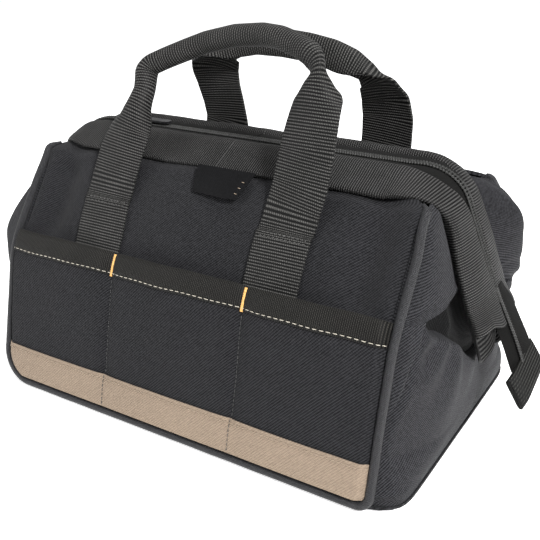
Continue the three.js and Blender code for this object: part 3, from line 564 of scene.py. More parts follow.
def wall_cloth(face, side):
    s_rows = spaced((FOOT, CORNER + FOOT, 14), (26, 96, 18), (99, WALL_TOP, 50))
    s_grid, t_grid = grid(s_rows, spaced((-1, -0.88, 12), (-0.88, 0.88, 90), (0.88, 1, 12)))
    x_grid = t_grid * half_width(s_grid, t_grid)
    bulge = wall_bulge(x_grid, s_grid, WALL_SEEDS[face])
    p = slouch(wall(x_grid, s_grid, 1.25 + bulge), side)
    lap = np.linspace(0, 1, 8)[1:, None]
    lap_rows = p[-1] + (lap * LAP_LEN)[..., None] * LAP
    lap_rows[..., 0] *= 1 - LAP_IN * lap ** 2
    lap_s = np.broadcast_to(WALL_TOP + LAP_LEN * lap, lap_rows.shape[:2])
    lap_x = np.repeat(x_grid[-1:], len(lap), 0)
    uv = join(np.concatenate([x_grid, lap_x]), np.concatenate([s_grid, lap_s]))
    p = mirror(np.concatenate([p, lap_rows]), 1, side)
    cloth = skin(f"{face}_wall_cloth", p, uv, 2.0, CLOTH)
    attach(cloth, f"{face}_wall")
    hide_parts(f"{face}_panel")


for face, side in SIDES:
    wall_cloth(face, side)


# Outside pockets: one cloth, held at its dividers, with more columns there and by its sides
POCKET_HALF = HALF - 1
POCKET_LEVEL = 1.2
BY_DIVIDER = ((DIVIDER - 6) / POCKET_HALF, (DIVIDER + 6) / POCKET_HALF, 17)
POCKET_STEP = 2 / 119
HALF_POCKET_X = spaced((POCKET_STEP / 2, 1, 60), BY_DIVIDER, (0.94, 1, 8))
POCKET_X = np.concatenate([-HALF_POCKET_X[::-1], HALF_POCKET_X])
WALL_OUT = wall_normal(LEAN_LOW)
SEWN_LIFT = 1.05
BINDING_X = np.linspace(-148.6, 148.6, 200)
BINDING_OUTLINE = [
    (98.2, 0.05), (98.2, 1), (104, 1.25), (110, 1.15), (112.2, 0.6), (112.7, -0.8), (112, -2),
    (110, -2.5), (102, -2.4), (102, -1.5), (110, -1.5), (111.4, -0.8), (110.6, 0.05)]


def pocket_offset(x, s, seed):
    """How far the pocket cloth stands out: full between its seams, pulled in at the dividers."""
    base = 2.4 + 3.1 * (s - 8) / 102
    inner = np.cos(x / (2 * DIVIDER) * pi)
    outer = np.sin(np.clip((np.abs(x) - DIVIDER) / (POCKET_HALF - DIVIDER), 0, 1) * pi)
    bay = np.where(np.abs(x) < DIVIDER, inner, outer)
    fullness = 2.6 * np.abs(bay) ** 0.7 * (0.35 + 0.65 * smooth(8, 112, s)) * (0.3 + 0.7 * smooth(2, 30, s))
    pull = 0.0
    for divider in (-DIVIDER, DIVIDER):
        d = x - divider
        pull = pull - (1.5 * bell(d, 0, 5) + 0.9 * bell(d, 0, 1.3)) * smooth(20, 34, s)
        pull = pull + 0.28 * np.sin(s / 3.6 + divider) * bell(np.abs(d), 6, 5) * smooth(24, 36, s)
    p = join(x, s, 0.0)
    soft = (0.55 * waves(p, 60, seed) + 0.25 * waves(p, 22, seed + 5)) * smooth(10, 40, s)
    hold = smooth(0, 6, half_width(s, x) - np.abs(x))
    return (base + fullness + soft + pull + 1.6) * hold - 1.0


def on_pocket(x, s, lift, side, seed):
    """Point on a wall's pocket cloth, lifted off it."""
    return mirror(wall(x, s, pocket_offset(x, s, seed) + POCKET_LEVEL + lift), 1, side)


def pocket_grid(s_rows, inset):
    s_grid, t_grid = grid(s_rows, POCKET_X)
    return t_grid * (half_width(s_grid, t_grid) - inset), s_grid


def pocket_cloth(face, side, seed):
    x_grid, s_grid = pocket_grid(spaced((FOOT + 1, CORNER + FOOT, 12), (26, 110, 46)), 1)
    p = on_pocket(x_grid, s_grid, 0, side, seed)
    pocket = skin(f"{face}_pocket_cloth", p, join(x_grid, s_grid), 1.3, CLOTH)
    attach(pocket, f"{face}_wall")
    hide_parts(f"{face}_pocket_panel")


def pocket_binding(face, side, seed):
    """Tape folded over the pocket's top edge, with a row of pale stitches."""
    wobble = 0.25 * np.sin(BINDING_X / 17 + seed) + 0.15 * np.sin(BINDING_X / 6.1)
    rings = [on_pocket(BINDING_X, s + wobble, lift, side, seed) for s, lift in BINDING_OUTLINE]
    rings = np.stack(rings if side > 0 else rings[::-1], 1)
    perimeter = length_of(np.array(BINDING_OUTLINE))
    uv = join(BINDING_X[:, None], perimeter[None, :])
    binding = loft(f"{face}_binding_tape", rings, uv, BINDING, flip=True)
    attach(binding, f"{face}_wall")
    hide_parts(f"{face}_pocket_binding")
    row = on_pocket(BINDING_X, 99.6 + wobble, SEWN_LIFT, side, seed)
    sewing = stitches(f"{face}_pocket_stitches", row, mirror(WALL_OUT, 1, side), 3.0, 4.4, 0.29, PALE_THREAD,
                      wobble=0.05, seed=seed)
    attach(sewing, f"{face}_wall")


def foot_strip(face, side, seed):
    """The tan strip over the pocket's foot, sewn along its top edge."""
    x_grid, s_grid = pocket_grid(spaced((FOOT + 1.5, CORNER + FOOT, 12), (24, 28, 4)), 1.2)
    lift = 0.9 + 0.25 * smooth(24, 27, s_grid) - 0.4 * bell(s_grid, 24.6, 0.8)
    p = on_pocket(x_grid, s_grid, lift, side, seed)
    strip = skin(f"{face}_foot_strip", p, join(x_grid, s_grid), 0.9, TAN)
    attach(strip, f"{face}_wall")
    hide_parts(f"{face}_kick_strip")
    row = on_pocket(BINDING_X, 25.2, SEWN_LIFT, side, seed)
    sewing = stitches(f"{face}_foot_stitches", row, mirror(WALL_OUT, 1, side), 2.6, 3.5, 0.3, TAN_THREAD)
    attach(sewing, f"{face}_wall")


def divider_seam(face, side, seed, name, divider):
    """A divider's dark stitches up the pocket and the strip, and the bartack at its top."""
    out = mirror(WALL_OUT, 1, side)
    high = np.linspace(29, 97, 60)
    row = on_pocket(divider + 0.4 * np.sin(high / 30), high, 0.1, side, seed)
    seam = stitches(f"{face}_{name}_divider_stitches", row, out, 2.4, 3.2, 0.3, DARK_THREAD)
    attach(seam, f"{face}_wall")
    row = on_pocket(divider + 0.3, np.linspace(6, 28, 20), SEWN_LIFT, side, seed)
    seam = stitches(f"{face}_{name}_strip_divider_stitches", row, out, 2.4, 3.2, 0.26, DARK_THREAD)
    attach(seam, f"{face}_wall")
    core = on_pocket(divider, np.linspace(97.6, 111.6, 30), 1.35, side, seed)
    rings = sweep(core, out, oval(1.15, 0.75, 10), 1 + 0.12 * np.sin(np.arange(30) * 2.1))
    tack = loft(f"{face}_{name}_bartack_thread", rings, tube_uv(rings, length_of(core)), GOLD_THREAD)
    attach(tack, f"{face}_wall")
    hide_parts(f"{face}_{name}_bartack")


for face, side in SIDES:
    seed = 31 if side > 0 else 47
    pocket_cloth(face, side, seed)
    pocket_binding(face, side, seed)
    foot_strip(face, side, seed)
    divider_seam(face, side, seed, "left", -DIVIDER)
    divider_seam(face, side, seed, "right", DIVIDER)


# Welt piping round the walls
def piping_half(corner, end):
    """The right half of the piping's line, as side position and length up the wall."""
    reach = corner + FOOT
    half = HALF + 1.6
    flat = half - reach
    line = [(x, 0.0) for x in np.linspace(0, flat, 50)[:-1]]
    line += [(flat + reach * sin(a), reach * (1 - cos(a))) for a in np.linspace(0, pi / 2, 14)]
    for s in np.linspace(reach, end, 80)[1:]:
        lap = max(s - WALL_TOP, 0) / LAP_LEN
        line.append(((half - 1.6 * smooth(150, 172, s)) * (1 - LAP_IN * lap ** 2), s))
    return np.array(line, float)


def welt_piping(face, side, end, seed):
    right, left = piping_half(RIGHT_CORNER, end), piping_half(CORNER, end) * [-1, 1]
    x, s = np.concatenate([right[::-1], left[1:]]).T
    path = wall(x, np.minimum(s, WALL_TOP), 0.6)
    path = slouch(path + np.clip(s - WALL_TOP, 0, None)[:, None] * LAP, side)
    wiggle = waves(path, 60, seed) * (s > 25)
    path = path + join(0.25 * wiggle, 0.2 * wiggle, 0)
    path[:, 2] = np.maximum(path[:, 2], PIPE + 0.25)
    path = mirror(path, 1, side)
    scale = (1 + 0.02 * waves(path, 12, 4)) * (1 - 0.6 * smooth(end - 7, end, s))
    rings = sweep(path, np.array([0, -side, 0]), oval(PIPE, PIPE, 14), scale)
    pipe = loft(f"{face}_welt_piping", rings, tube_uv(rings, length_of(path)), PIPING)
    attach(pipe, f"{face}_wall")
    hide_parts(f"{face}_piping")


welt_piping("front", 1, WALL_TOP + 9, 5)
welt_piping("back", -1, WALL_TOP + 3, 8)


# The bottom, cut wide enough to meet the foot of each end
across, along = grid(np.linspace(-1, 1, 70), np.linspace(-1, 1, 50))
foot_corner = np.where(across > 0, HALF - RIGHT_CORNER, HALF - CORNER) - 1
foot_reach = np.where(across > 0, 25.2, 34.8) * (1 - np.abs(along) ** 16)
x_grid, y_grid = across * (foot_corner + foot_reach), along * 112.5
sag = 0.5 * (1 - across ** 6) * (1 - along ** 6)
p = join(x_grid, y_grid, 0.6 - sag)
bottom = skin("bottom_cloth", p, join(x_grid, y_grid), 1.8, CLOTH, centre=(0, 0, 200))
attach(bottom, "base")
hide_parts("bottom_panel")


# Tables for the ends, by height in millimetres
def eased(places, values, window):
    """A table of values with its corners rounded over a window."""
    fine = np.linspace(places[0], places[-1], 400)
    raw = np.interp(fine, places, values)
    width = max(int(window / (fine[1] - fine[0])) // 2, 1)
    padded = np.pad(raw, width, mode="reflect", reflect_type="odd")
    return fine, np.convolve(padded, np.ones(2 * width + 1) / (2 * width + 1), mode="valid")


# How far out the middle of an end lies, and how far its back upper corner puffs out
MIDDLE = eased([0, 8, 14, 20, 26, 50, 75, 92, 100, 110, 120, 136, 150, 160, 170, 178],
               [167, 170, 172, 173.5, 175, 177, 178, 175, 173.5, 171, 167, 161, 155.5, 152, 147.5, 145.5], 10)
BACK_PUFF = eased([0, 50, 80, 95, 107, 121, 136, 149, 158, 166, 175, 180],
                  [0, 0, 4, 12, 17, 21, 24, 21, 13, 6, 0, 0], 12)
# Share across at which the upper side cloth ends, front and back
FRONT_EDGE = ([30, 44, 76, 109, 117, 125, 136, 150, 160, 170, 176],
              [0.985, 0.947, 0.857, 0.76, 0.34, 0.32, 0.33, 0.36, 0.40, 0.45, 0.50])
BACK_EDGE = ([30, 44, 76, 90, 101, 112, 125, 136, 150, 160, 170, 176],
             [0.985, 0.947, 0.857, 0.76, 0.34, 0.32, 0.32, 0.33, 0.36, 0.40, 0.45, 0.50])
# Height of an end's upper edge, by share across from the front seam to the back seam
TOP_EDGE = ([-1, -0.80, -0.76, -0.43, -0.30, -0.14, 0, 0.14, 0.30, 0.43, 0.76, 0.80, 1],
            [117, 117, 107.5, 91, 78, 69, 68, 69, 82, 98, 110, 112, 112])
END_SEEDS = {"right": 61, "left": 83}


def inner_edge(z, t):
    return np.where(t < 0, np.interp(z, *FRONT_EDGE), np.interp(z, *BACK_EDGE))


def end_shell(t, z, end):
    """How far out an end's cloth lies between its seams, before puffs and folds."""
    foot = half_width((np.clip(z, 4.9, None) - HINGE_Z) / cos(LEAN_LOW), end) - 0.8 * smooth(20, 40, z)
    middle = np.interp(z, *MIDDLE)
    if end < 0:
        middle = middle - 7 * (1 - smooth(20, 60, z))
    square = np.interp(z, [3, 12, 30], [16, 9, 3.3])
    return foot + (middle - foot) * (1 - np.abs(t) ** square)


def end_puff(t, z, end):
    """Upper corners that puff out over the tuck, more at the back and at the left end's front."""
    across = np.abs(t)
    inside = np.interp(z, [80, 117, 125, 176], [0.4, 0.42, 0.44, 0.75])
    rise = np.sin(pi * np.sqrt(np.clip((1 - across) / (1 - inside), 0, 1)))
    front = 3.0 * bell(across, 0.75, 0.18) * smooth(95, 125, z) * (1 - smooth(140, 165, z))
    if end < 0:
        front = front + 18 * bell(z, 110, 34) * rise
    back = np.interp(z, *BACK_PUFF) * rise * (1.0 if end > 0 else 0.7) + 9 * bell(z, 152, 20) * across ** 4
    return np.where(t < 0, front, back)


def drag_lines(t, z, seed):
    """Folds that fan from the tuck down to the bottom corners."""
    fan = np.zeros_like(t)
    for sign in (-1, 1):
        away = (t - sign * 0.42) * 90
        fall = 93 - z
        angle = np.arctan2(away * sign, fall + 14)
        spread = np.hypot(away, fall)
        fan = fan + 2.0 * np.cos(angle * 11 + seed) * smooth(2, 20, spread) * np.exp(-spread / 50)
    return fan * (1 - smooth(95, 118, z))


def end_face(t, z, end, seed):
    """Point on an end's cloth at share t across (-1 front seam, 1 back seam) and height z."""
    t, z = np.broadcast_arrays(t, z)
    depth = seam_depth(z) - 0.6
    ridge = 1.2 * bell(np.abs(t), inner_edge(z, t), 0.05) * smooth(25, 45, z) * (1 - smooth(108, 118, z))
    seam_dip = 4.6 * bell((1 - np.abs(t)) * depth, 4.2, 3.6)
    x = end_shell(t, z, end) + end_puff(t, z, end) + ridge - seam_dip
    p = join(x, t * depth, z)
    soft = 1.5 * waves(p, 70, seed) + 0.5 * waves(p * [1, 1, 0.6], 30, seed + 3)
    hold = (1 - bell(np.abs(t), 1, 0.10)) * smooth(5, 16, z)
    p[..., 0] += (soft + drag_lines(t, z, seed)) * hold
    return p


# Ends: one cloth from the foot up to the mouth frame, tucked inwards in the middle
def end_cloth(hand, end, part, t0, t1):
    rows, t_grid = grid(np.linspace(0, 1, 74), np.linspace(t0, t1, 56))
    top_z = np.interp(t_grid, *TOP_EDGE)
    z_grid = 0.8 + (top_z - 0.8) * rows ** 1.15
    p = end_face(t_grid, z_grid, end, END_SEEDS[hand])
    rolled = (1 - smooth(0, 9, top_z - z_grid)) * (1 - smooth(0.76, 0.79, np.abs(t_grid)))
    under = smooth(-0.025, 0.025, np.abs(t_grid) - inner_edge(z_grid, t_grid)) * smooth(26, 40, z_grid)
    p[..., 0] -= 11 * rolled ** 2 + 2.0 * under
    p[..., 2] -= 1.5 * rolled
    return skin(f"{hand}_end_{part}_cloth", p * [end, 1, 1], cloth_uv(p), 1.6, END_WITH_PAINTED_LIGHT)


for hand, end in ENDS:
    for part, sign, t0, t1 in (("front", -1, -1, -0.5), ("middle", 0, -0.5, 0.5), ("back", 1, 0.5, 1)):
        piece = end_cloth(hand, end, part, t0, t1)
        if sign == 0:
            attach(piece, "base")
            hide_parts(f"{hand}_end_panel")
        else:
            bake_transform(piece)


def side_cloth(hand, end, face, side):
    """Upper side gusset between a wall's seam and the frame's leg, lapped over the end's cloth."""
    z_rows = spaced((31, 100, 40), (101, 120, 34), (122, 176, 34))
    v_grid, share = grid((z_rows - 31) / 145, np.linspace(0, 1, 48) ** 0.9)
    z_top = (164.5 if side > 0 else 166) + 8 * smooth(0.15, 1.0, share)
    z_grid = 31 + (z_top - 31) * v_grid
    inner = inner_edge(z_grid, -side)
    p = end_face(-side * (1 - share * (1 - inner)), z_grid, end, END_SEEDS[hand])
    away = (1 - share) * (1 - inner) * seam_depth(z_grid)
    low = 1 - smooth(114, 122, z_grid)
    curl = (1 - smooth(0, 4.5, away)) * 3.0 * low + (1 - smooth(0, 12, away)) * 3.5 * (1 - low)
    p[..., 0] += 0.3 * smooth(0, 5, share * (1 - inner) * 90) - curl - 3 * smooth(-9, 0, z_grid - z_top)
    piece = skin(f"{hand}_{face}_side_cloth", p * [end, 1, 1], cloth_uv(p), 1.5, END_WITH_PAINTED_LIGHT)
    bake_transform(piece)
    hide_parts(f"{hand}_{face}_gusset")


def inner_cloth(hand, end, seed):
    """Cloth that is folded in behind the end, baked in place; it is not made to unfold as the mouth opens."""
    z_grid, y_grid = grid(np.linspace(26, 117, 44), np.linspace(-63, 63, 80))
    depth = (np.interp(z_grid, *MIDDLE) - HALF) * (1 - np.abs(y_grid / 100) ** 2.6)
    fold = 2.5 * (bell(y_grid, -36.5, 4.4) + bell(y_grid, 36.5, 4.4)) * smooth(84, 96, z_grid)
    p = join(HALF + depth - 8.5 - 4 * smooth(78, 117, z_grid) + fold, y_grid, z_grid)
    p[..., 0] += 0.8 * waves(p, 30, seed) * smooth(26, 50, z_grid)
    piece = skin(f"{hand}_inner_cloth", p * [end, 1, 1], join(y_grid, z_grid), 1.4, LINING)
    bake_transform(piece)
    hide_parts(f"{hand}_inner_gusset")


for hand, end in ENDS:
    for face, side in SIDES:
        side_cloth(hand, end, face, side)
inner_cloth("right", 1, 211)
inner_cloth("left", -1, 223)


# Webbing sleeve over the mouth frame, in a right and a left half for each side. Its sections on the top and
# on the leg are given towards the free edges and out.
SLEEVE_TOP = [
    (27, 0.5), (26, 1.5), (21, 2.2), (15, 3), (9, 4.1), (4.6, 4.9), (0.5, 5.1), (-3, 4.3), (-4.9, 1.9),
    (-5.2, -0.6), (-4, -3.4), (-1.2, -4.9), (2.4, -5.2), (7, -4.7), (12, -3.9), (18, -3.1), (23, -2.5),
    (26, -2), (27, -1.2)]
SLEEVE_LEG = [
    (13, -6.2), (12.2, -5), (10, -2.2), (7, 1.4), (4, 4), (1, 5), (-2, 4.6), (-5, 2.8), (-9, 0.4),
    (-13, -1.6), (-16.6, -3), (-17.8, -4), (-17, -5.2), (-12, -6.8), (-6, -8.2), (0, -9.1), (5, -9.2),
    (10, -8.4), (12.6, -7.4)]
SLEEVE_END = FRAME_LEN + 3
SLEEVE_SIDES = 46


def dense(outline, count):
    """Points spread evenly round a closed outline."""
    loop = np.array(outline + [outline[0]], float)
    t = length_of(loop)
    return columns_at(np.linspace(0, t[-1], count + 1)[:-1], t, loop)


def near_sleeve_end(along, length):
    return smooth(SLEEVE_END - length, SLEEVE_END, along)[:, None]


def sleeve_sections(along):
    """Outer and inner section of the sleeve at each length along the frame, opening out at its end."""
    turned = smooth(MOUTH + 6, LEG_START + 10, along)[:, None, None]
    outer = dense(SLEEVE_TOP, SLEEVE_SIDES) * (1 - turned) + dense(SLEEVE_LEG, SLEEVE_SIDES) * turned
    waist = 1 - 0.6 * bell(along, LEG_START + 10, 26)[:, None]
    outer[..., 0] = np.where(outer[..., 0] > 2, 2 + (outer[..., 0] - 2) * waist, outer[..., 0])
    centre = np.array([6.0, 0]) * (1 - turned) + np.array([-2.0, -2.2]) * turned
    open_out = near_sleeve_end(along, 24)[..., None]
    outer = centre + (outer - centre) * (1 + np.array([0.06, 0.34]) * open_out)
    inner = centre + (outer - centre) * (np.array([0.90, 0.66]) + np.array([0.02, 0.14]) * open_out)
    return outer, inner


def sleeve_overhang(along, section, seed):
    """How much further the sleeve's end hangs at each point: cut back outside, a lobe inside."""
    u, v = section[..., 0], section[..., 1]
    ragged = 0.4 * np.sin(np.arange(SLEEVE_SIDES) * 0.55 + seed) * near_sleeve_end(along, 9)
    cut_back = 7 * smooth(-1, 7, -v) * near_sleeve_end(along, 30)
    facing_in = smooth(-0.5, 2, v + 3 + 0.25 * np.maximum(u, 0))
    tongue = 16 * facing_in * np.clip(1 - ((u - 0.5) / 12) ** 2, 0, 1) ** 0.6
    level = 5 * smooth(-2, 16, -u) * (1 - facing_in)
    return ragged - cut_back + (tongue + level) * near_sleeve_end(along, 22)


def sleeve_webbing(face, side, hand, end, seed):
    along = spaced((0, MOUTH, 60), (MOUTH, SLEEVE_END, 100))
    point, direction, share = frame_line(along)
    tail, normal = sleeve_axes(direction, share)
    sections = sleeve_sections(along)
    outer, inner = [point[:, None] + tail[:, None] * section[..., :1] + normal[:, None] * section[..., 1:]
                    for section in sections]
    ripple = 0.8 * waves(outer, 45, seed) + 0.3 * waves(outer, 18, seed + 1)
    ripple = 0.7 * ripple * smooth(0, 12, along)[:, None]
    overhang = sleeve_overhang(along, sections[0], seed)
    shift = normal[:, None] * ripple[..., None] + direction[:, None] * overhang[..., None]
    outer, inner = outer + shift, inner + shift
    return hollow(f"{face}_{hand}_sleeve_webbing", mirror(outer, end, side), mirror(inner, end, side),
                  tube_uv(outer, along), SLEEVE, flip=end * side < 0)


def blend_mouth(piece):
    """Bakes the piece's placement into its mesh, tied to no body."""
    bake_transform(piece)


for face, side in SIDES:
    for hand, end in ENDS:
        sleeve = sleeve_webbing(face, side, hand, end, 301 + 11 * (side > 0) + 5 * (end > 0))
        blend_mouth(sleeve)
        names = [f"{face}_{hand}_leg_sleeve"]
        if end > 0:
            names.append(f"{face}_top_sleeve")
        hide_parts(*names)


# Zipper tape and coil on each side
ZIP_END = LEG_START + (WIRE_Z - CORNER_DROP - 97) / cos(SPLAY)
TAPE_WIDE = 14


def zip_lines(along):
    """Root and edge of the tape, and the way out of it, at lengths along the frame."""
    point, direction, share = frame_line(along)
    outward = unit(np.cross(direction, [0, 1, 0]))
    root = point + outward * (1.6 + 3.2 * share)[:, None]
    root[:, 1] = point[:, 1] + 3.2
    edge = point + outward * (0.9 + 8.0 * smooth(0, 1, share) ** 0.8)[:, None]
    edge[:, 1] = -2.2
    return root, edge, outward


def zipper_tape(face, side, hand, end, seed):
    along = spaced((0, MOUTH, 50), (MOUTH, ZIP_END, 70))
    root, edge, outward = zip_lines(along)
    shares = np.linspace(0, 1, 9)
    p = root[:, None] * (1 - shares[:, None]) + edge[:, None] * shares[:, None]
    belly = np.sin(pi * shares) * (0.9 + 0.5 * waves(edge, 40, seed)[:, None])
    pucker = 0.25 * np.sin(along[:, None] / 2.3) * (shares < 0.45)
    p = mirror(p + outward[:, None] * (belly + pucker)[..., None], end, side)
    uv = join(along[:, None], shares * TAPE_WIDE)
    return skin(f"{face}_{hand}_zipper_tape", p, uv, 0.8, TAPE, centre=(0, -side * 40, 60))


def zipper_coil(face, side, hand, end):
    """A bead of nylon whose size swells at every tooth."""
    along = np.linspace(0, ZIP_END, int(ZIP_END / 0.375))
    edge, outward = zip_lines(along)[1:]
    path = edge + outward
    path[:, 1] = -2.1
    phase = along / TOOTH * 2 * pi
    rings = sweep(path, outward, oval(1.25, 0.95, 8), 0.95 + 0.5 * np.cos(phase))
    rings[:, :, 1] += (0.32 * np.cos(phase))[:, None]
    return loft(f"{face}_{hand}_zipper_coil_teeth", mirror(rings, end, side), tube_uv(rings, along), COIL,
                flip=(end * side) > 0)


for face, side in SIDES:
    for hand, end in ENDS:
        tape = zipper_tape(face, side, hand, end, 401 + 11 * (side > 0) + 5 * (end > 0))
        blend_mouth(tape)
        names = [f"{face}_{hand}_zipper_side"]
        if end > 0:
            names.append(f"{face}_zipper_tape")
        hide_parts(*names)
        coil = zipper_coil(face, side, hand, end)
        blend_mouth(coil)
        if end > 0:
            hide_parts(f"{face}_zipper_coil")


# Free tail of the zipper and the folded tab on its end
TAIL_LINE = [
    (180.4, 0, 109), (182.6, 0, 104.5), (188.6, 0, 93), (195, 0, 80.6), (200.2, 0, 69), (203.4, 0, 61)]
TAB_FOLD = [
    (-3, 2), (2, 2.3), (8, 2.3), (12.5, 2.5), (15.4, 2), (16.6, 0), (15.4, -2), (12.5, -2.5),
    (8, -2.3), (2, -2.3), (-3, -2)]
TAB_CENTRE = np.array([203.0, 0.0, 62.0])


def tail_tape(hand, end):
    """Both tapes of the free tail, splayed from the coil, the back one wider."""
    line = resample(TAIL_LINE, 1.0)
    t = length_of(line)
    share = t / t[-1]
    wide = (0.75 + 0.25 * smooth(0, 0.3, share))[:, None]
    back = unit(join(0.10 + 0.05 * share, 0.95, 0.12 + 0.28 * share)) * 15 * wide
    front = unit(join(-0.50 + 0.1 * share, -0.80, -0.20 - 0.12 * share)) * 9.5 * wide
    cols = np.linspace(-1, 1, 17)[:, None]
    p = line[:, None] + np.where(cols > 0, back[:, None] * cols, -front[:, None] * cols)
    p[..., 0] += 0.8 * np.sin(pi * np.abs(cols[:, 0]))
    p[..., 0] += 0.5 * waves(p, 25, 500 + end)
    uv = join(t[:, None], cols[:, 0] * 15)
    return skin(f"{hand}_tail_tape", p * [end, 1, 1], uv, 0.9, TAPE, centre=(0, 0, 40))


def tail_coil(hand, end):
    line = resample(TAIL_LINE, 0.4)
    t = length_of(line)
    out = unit([0.92, 0, 0.38])
    rings = sweep(line + out * 0.9, out, oval(1.9, 0.85, 8), 1 + 0.28 * np.cos(t / TOOTH * 2 * pi))
    return loft(f"{hand}_tail_coil", rings * [end, 1, 1], tube_uv(rings, t), COIL, flip=end > 0)


def tail_tab(hand, end):
    """Webbing folded over the tape's end, lying across it, one edge curled back."""
    axis = unit([0, 0.92, 0.39])
    reach = unit([0.645, -0.297, -0.70])
    out = unit(np.cross(reach, axis))
    section = dense(TAB_FOLD, 36)
    rows = np.linspace(-18.5, 18.5, 40)
    rings = []
    for r in rows:
        curl = 3.2 * max(-(r + 8) / 10.5, 0) ** 2
        middle = TAB_CENTRE + axis * r - out * curl + reach * (0.02 * r)
        rings.append(middle + reach * section[:, :1] + out * section[:, 1:])
    rings = np.array(rings)
    uv = tube_uv(rings, rows)[..., ::-1]
    return loft(f"{hand}_tab_webbing", rings * [end, 1, 1], uv, TAB, flip=end < 0)


for hand, end in ENDS:
    tape = tail_tape(hand, end)
    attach(tape, f"{hand}_tail")
    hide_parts(f"{hand}_zipper_tail")
    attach(tail_coil(hand, end), f"{hand}_tail")
    tab = tail_tab(hand, end)
    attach(tab, f"{hand}_tail")
    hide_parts(f"{hand}_zipper_tab")


# Carrying handles: flat webbing legs, sewn to the wall, that curl into a tube or fold in half at the grip
SEWN_FROM, SEWN_TO = 101, 149
STRAP_LIFT = 2.9
STRAP_HALF_THICK = 0.95


def strap(stations, seed):
    """Rings of curled webbing. A station is x, y, z, normal x, y, z, curl, fold, hold, length up the wall."""
    path = resample(stations, 0.9, 1.6)
    point, normal = path[:, :3], path[:, 3:6]
    curl = np.clip(path[:, 6], 0.02, 0.97 * pi)
    fold, hold = path[:, 7], np.clip(path[:, 8], 0, 1)[:, None, None]
    tangent = unit(np.gradient(point, axis=0))
    out = square_to(tangent, normal)
    across = np.cross(tangent, out)
    u = np.linspace(-1, 1, 33)
    radius = WEB / 2 / curl
    angle = u[None] * curl[:, None]
    side = (radius * (1 - 0.54 * fold))[:, None] * np.sin(angle)
    depth = radius[:, None] * (np.cos(angle) - (np.sin(curl) / curl)[:, None]) * (1 + 0.45 * fold)[:, None]
    normals = np.cos(angle)[..., None] * out[:, None] + np.sin(angle)[..., None] * across[:, None]
    middle = point[:, None] + across[:, None] * side[..., None] + out[:, None] * depth[..., None]
    x = point[:, :1] + across[:, :1] * u[None] * WEB / 2
    up_wall = np.broadcast_to(path[:, 9:], x.shape)
    sewn = wall(x, up_wall, STRAP_LIFT + wall_bulge(x, up_wall, seed))
    middle = middle * (1 - hold) + sewn * hold
    outer = middle + normals * STRAP_HALF_THICK
    inner = middle - normals * STRAP_HALF_THICK
    return np.concatenate([outer, inner[:, ::-1]], axis=1), length_of(point), u * WEB / 2


def leg_x(foot_x, row_x, s):
    """Side position of a handle's sewn leg at length s up the wall."""
    return foot_x + (row_x - foot_x) * (s - SEWN_FROM) / (SEWN_TO - SEWN_FROM)


def leg_stations(foot_x, row_x):
    stations = []
    for s in np.linspace(SEWN_FROM, SEWN_TO, 4):
        y, z = wall(0.0, s, STRAP_LIFT)[1:]
        normal = wall_normal(np.interp(s, PROFILE_S, PROFILE_LEAN))
        stations.append((leg_x(foot_x, row_x, s), y, z, *normal, 0.03, 0, 1, s))
    return stations


# Stations of the grips that aren't sewn down, up to curl and fold. A fold of 0 is left out.
FRONT_GRIP = [
    (68.5, -61.5, 159, 0, -0.85, 0.5, 0.05), (71, -58, 173, 0, -0.9, 0.4, 0.08),
    (73, -54.5, 194, -0.05, -0.93, 0.3, 0.15), (73.3, -49.5, 212, -0.12, -0.93, 0.3, 0.45),
    (73.5, -46.3, 223.6, -0.12, -0.93, 0.3, 0.8), (73.9, -44, 229.5, 0, -0.92, 0.3, 1.5),
    (73.9, -42, 234.8, 0.25, -0.9, 0.3, 2.4, 0.2), (73, -40.5, 239.2, 0.45, -0.78, 0.4, 3.05, 0.8),
    (70.2, -38, 244.5, 0.6, -0.58, 0.6, 3.05, 0.7), (65, -35.5, 248.7, 0.55, -0.4, 0.75, 3, 0.1),
    (54.8, -31, 252.2, 0.35, -0.3, 0.9, 3), (38.4, -26, 255.7, 0.2, -0.25, 0.95, 3),
    (22.7, -22, 256.3, 0.05, -0.25, 0.97, 3), (0.2, -19, 254, -0.1, -0.25, 0.97, 3),
    (-23.9, -18, 248.2, -0.2, -0.25, 0.95, 3), (-40.5, -19.5, 242.1, -0.25, -0.25, 0.93, 3),
    (-57, -22, 235.5, -0.4, -0.4, 0.8, 3), (-66.5, -26, 230.9, -0.6, -0.6, 0.5, 3),
    (-68.6, -29, 226.4, -0.6, -0.75, 0.3, 3, 0.3), (-67.1, -32, 221.1, -0.45, -0.86, 0.25, 3, 0.2),
    (-66, -35.5, 214.9, -0.35, -0.92, 0.2, 2.9), (-66.8, -40, 208.7, -0.2, -0.95, 0.3, 2.6),
    (-68.6, -44.5, 201.8, -0.1, -0.93, 0.35, 1.9), (-71.5, -49.5, 191, 0, -0.92, 0.38, 0.8),
    (-73.6, -55.5, 176, 0, -0.88, 0.45, 0.3), (-75.4, -61.5, 159, 0, -0.85, 0.5, 0.1)]
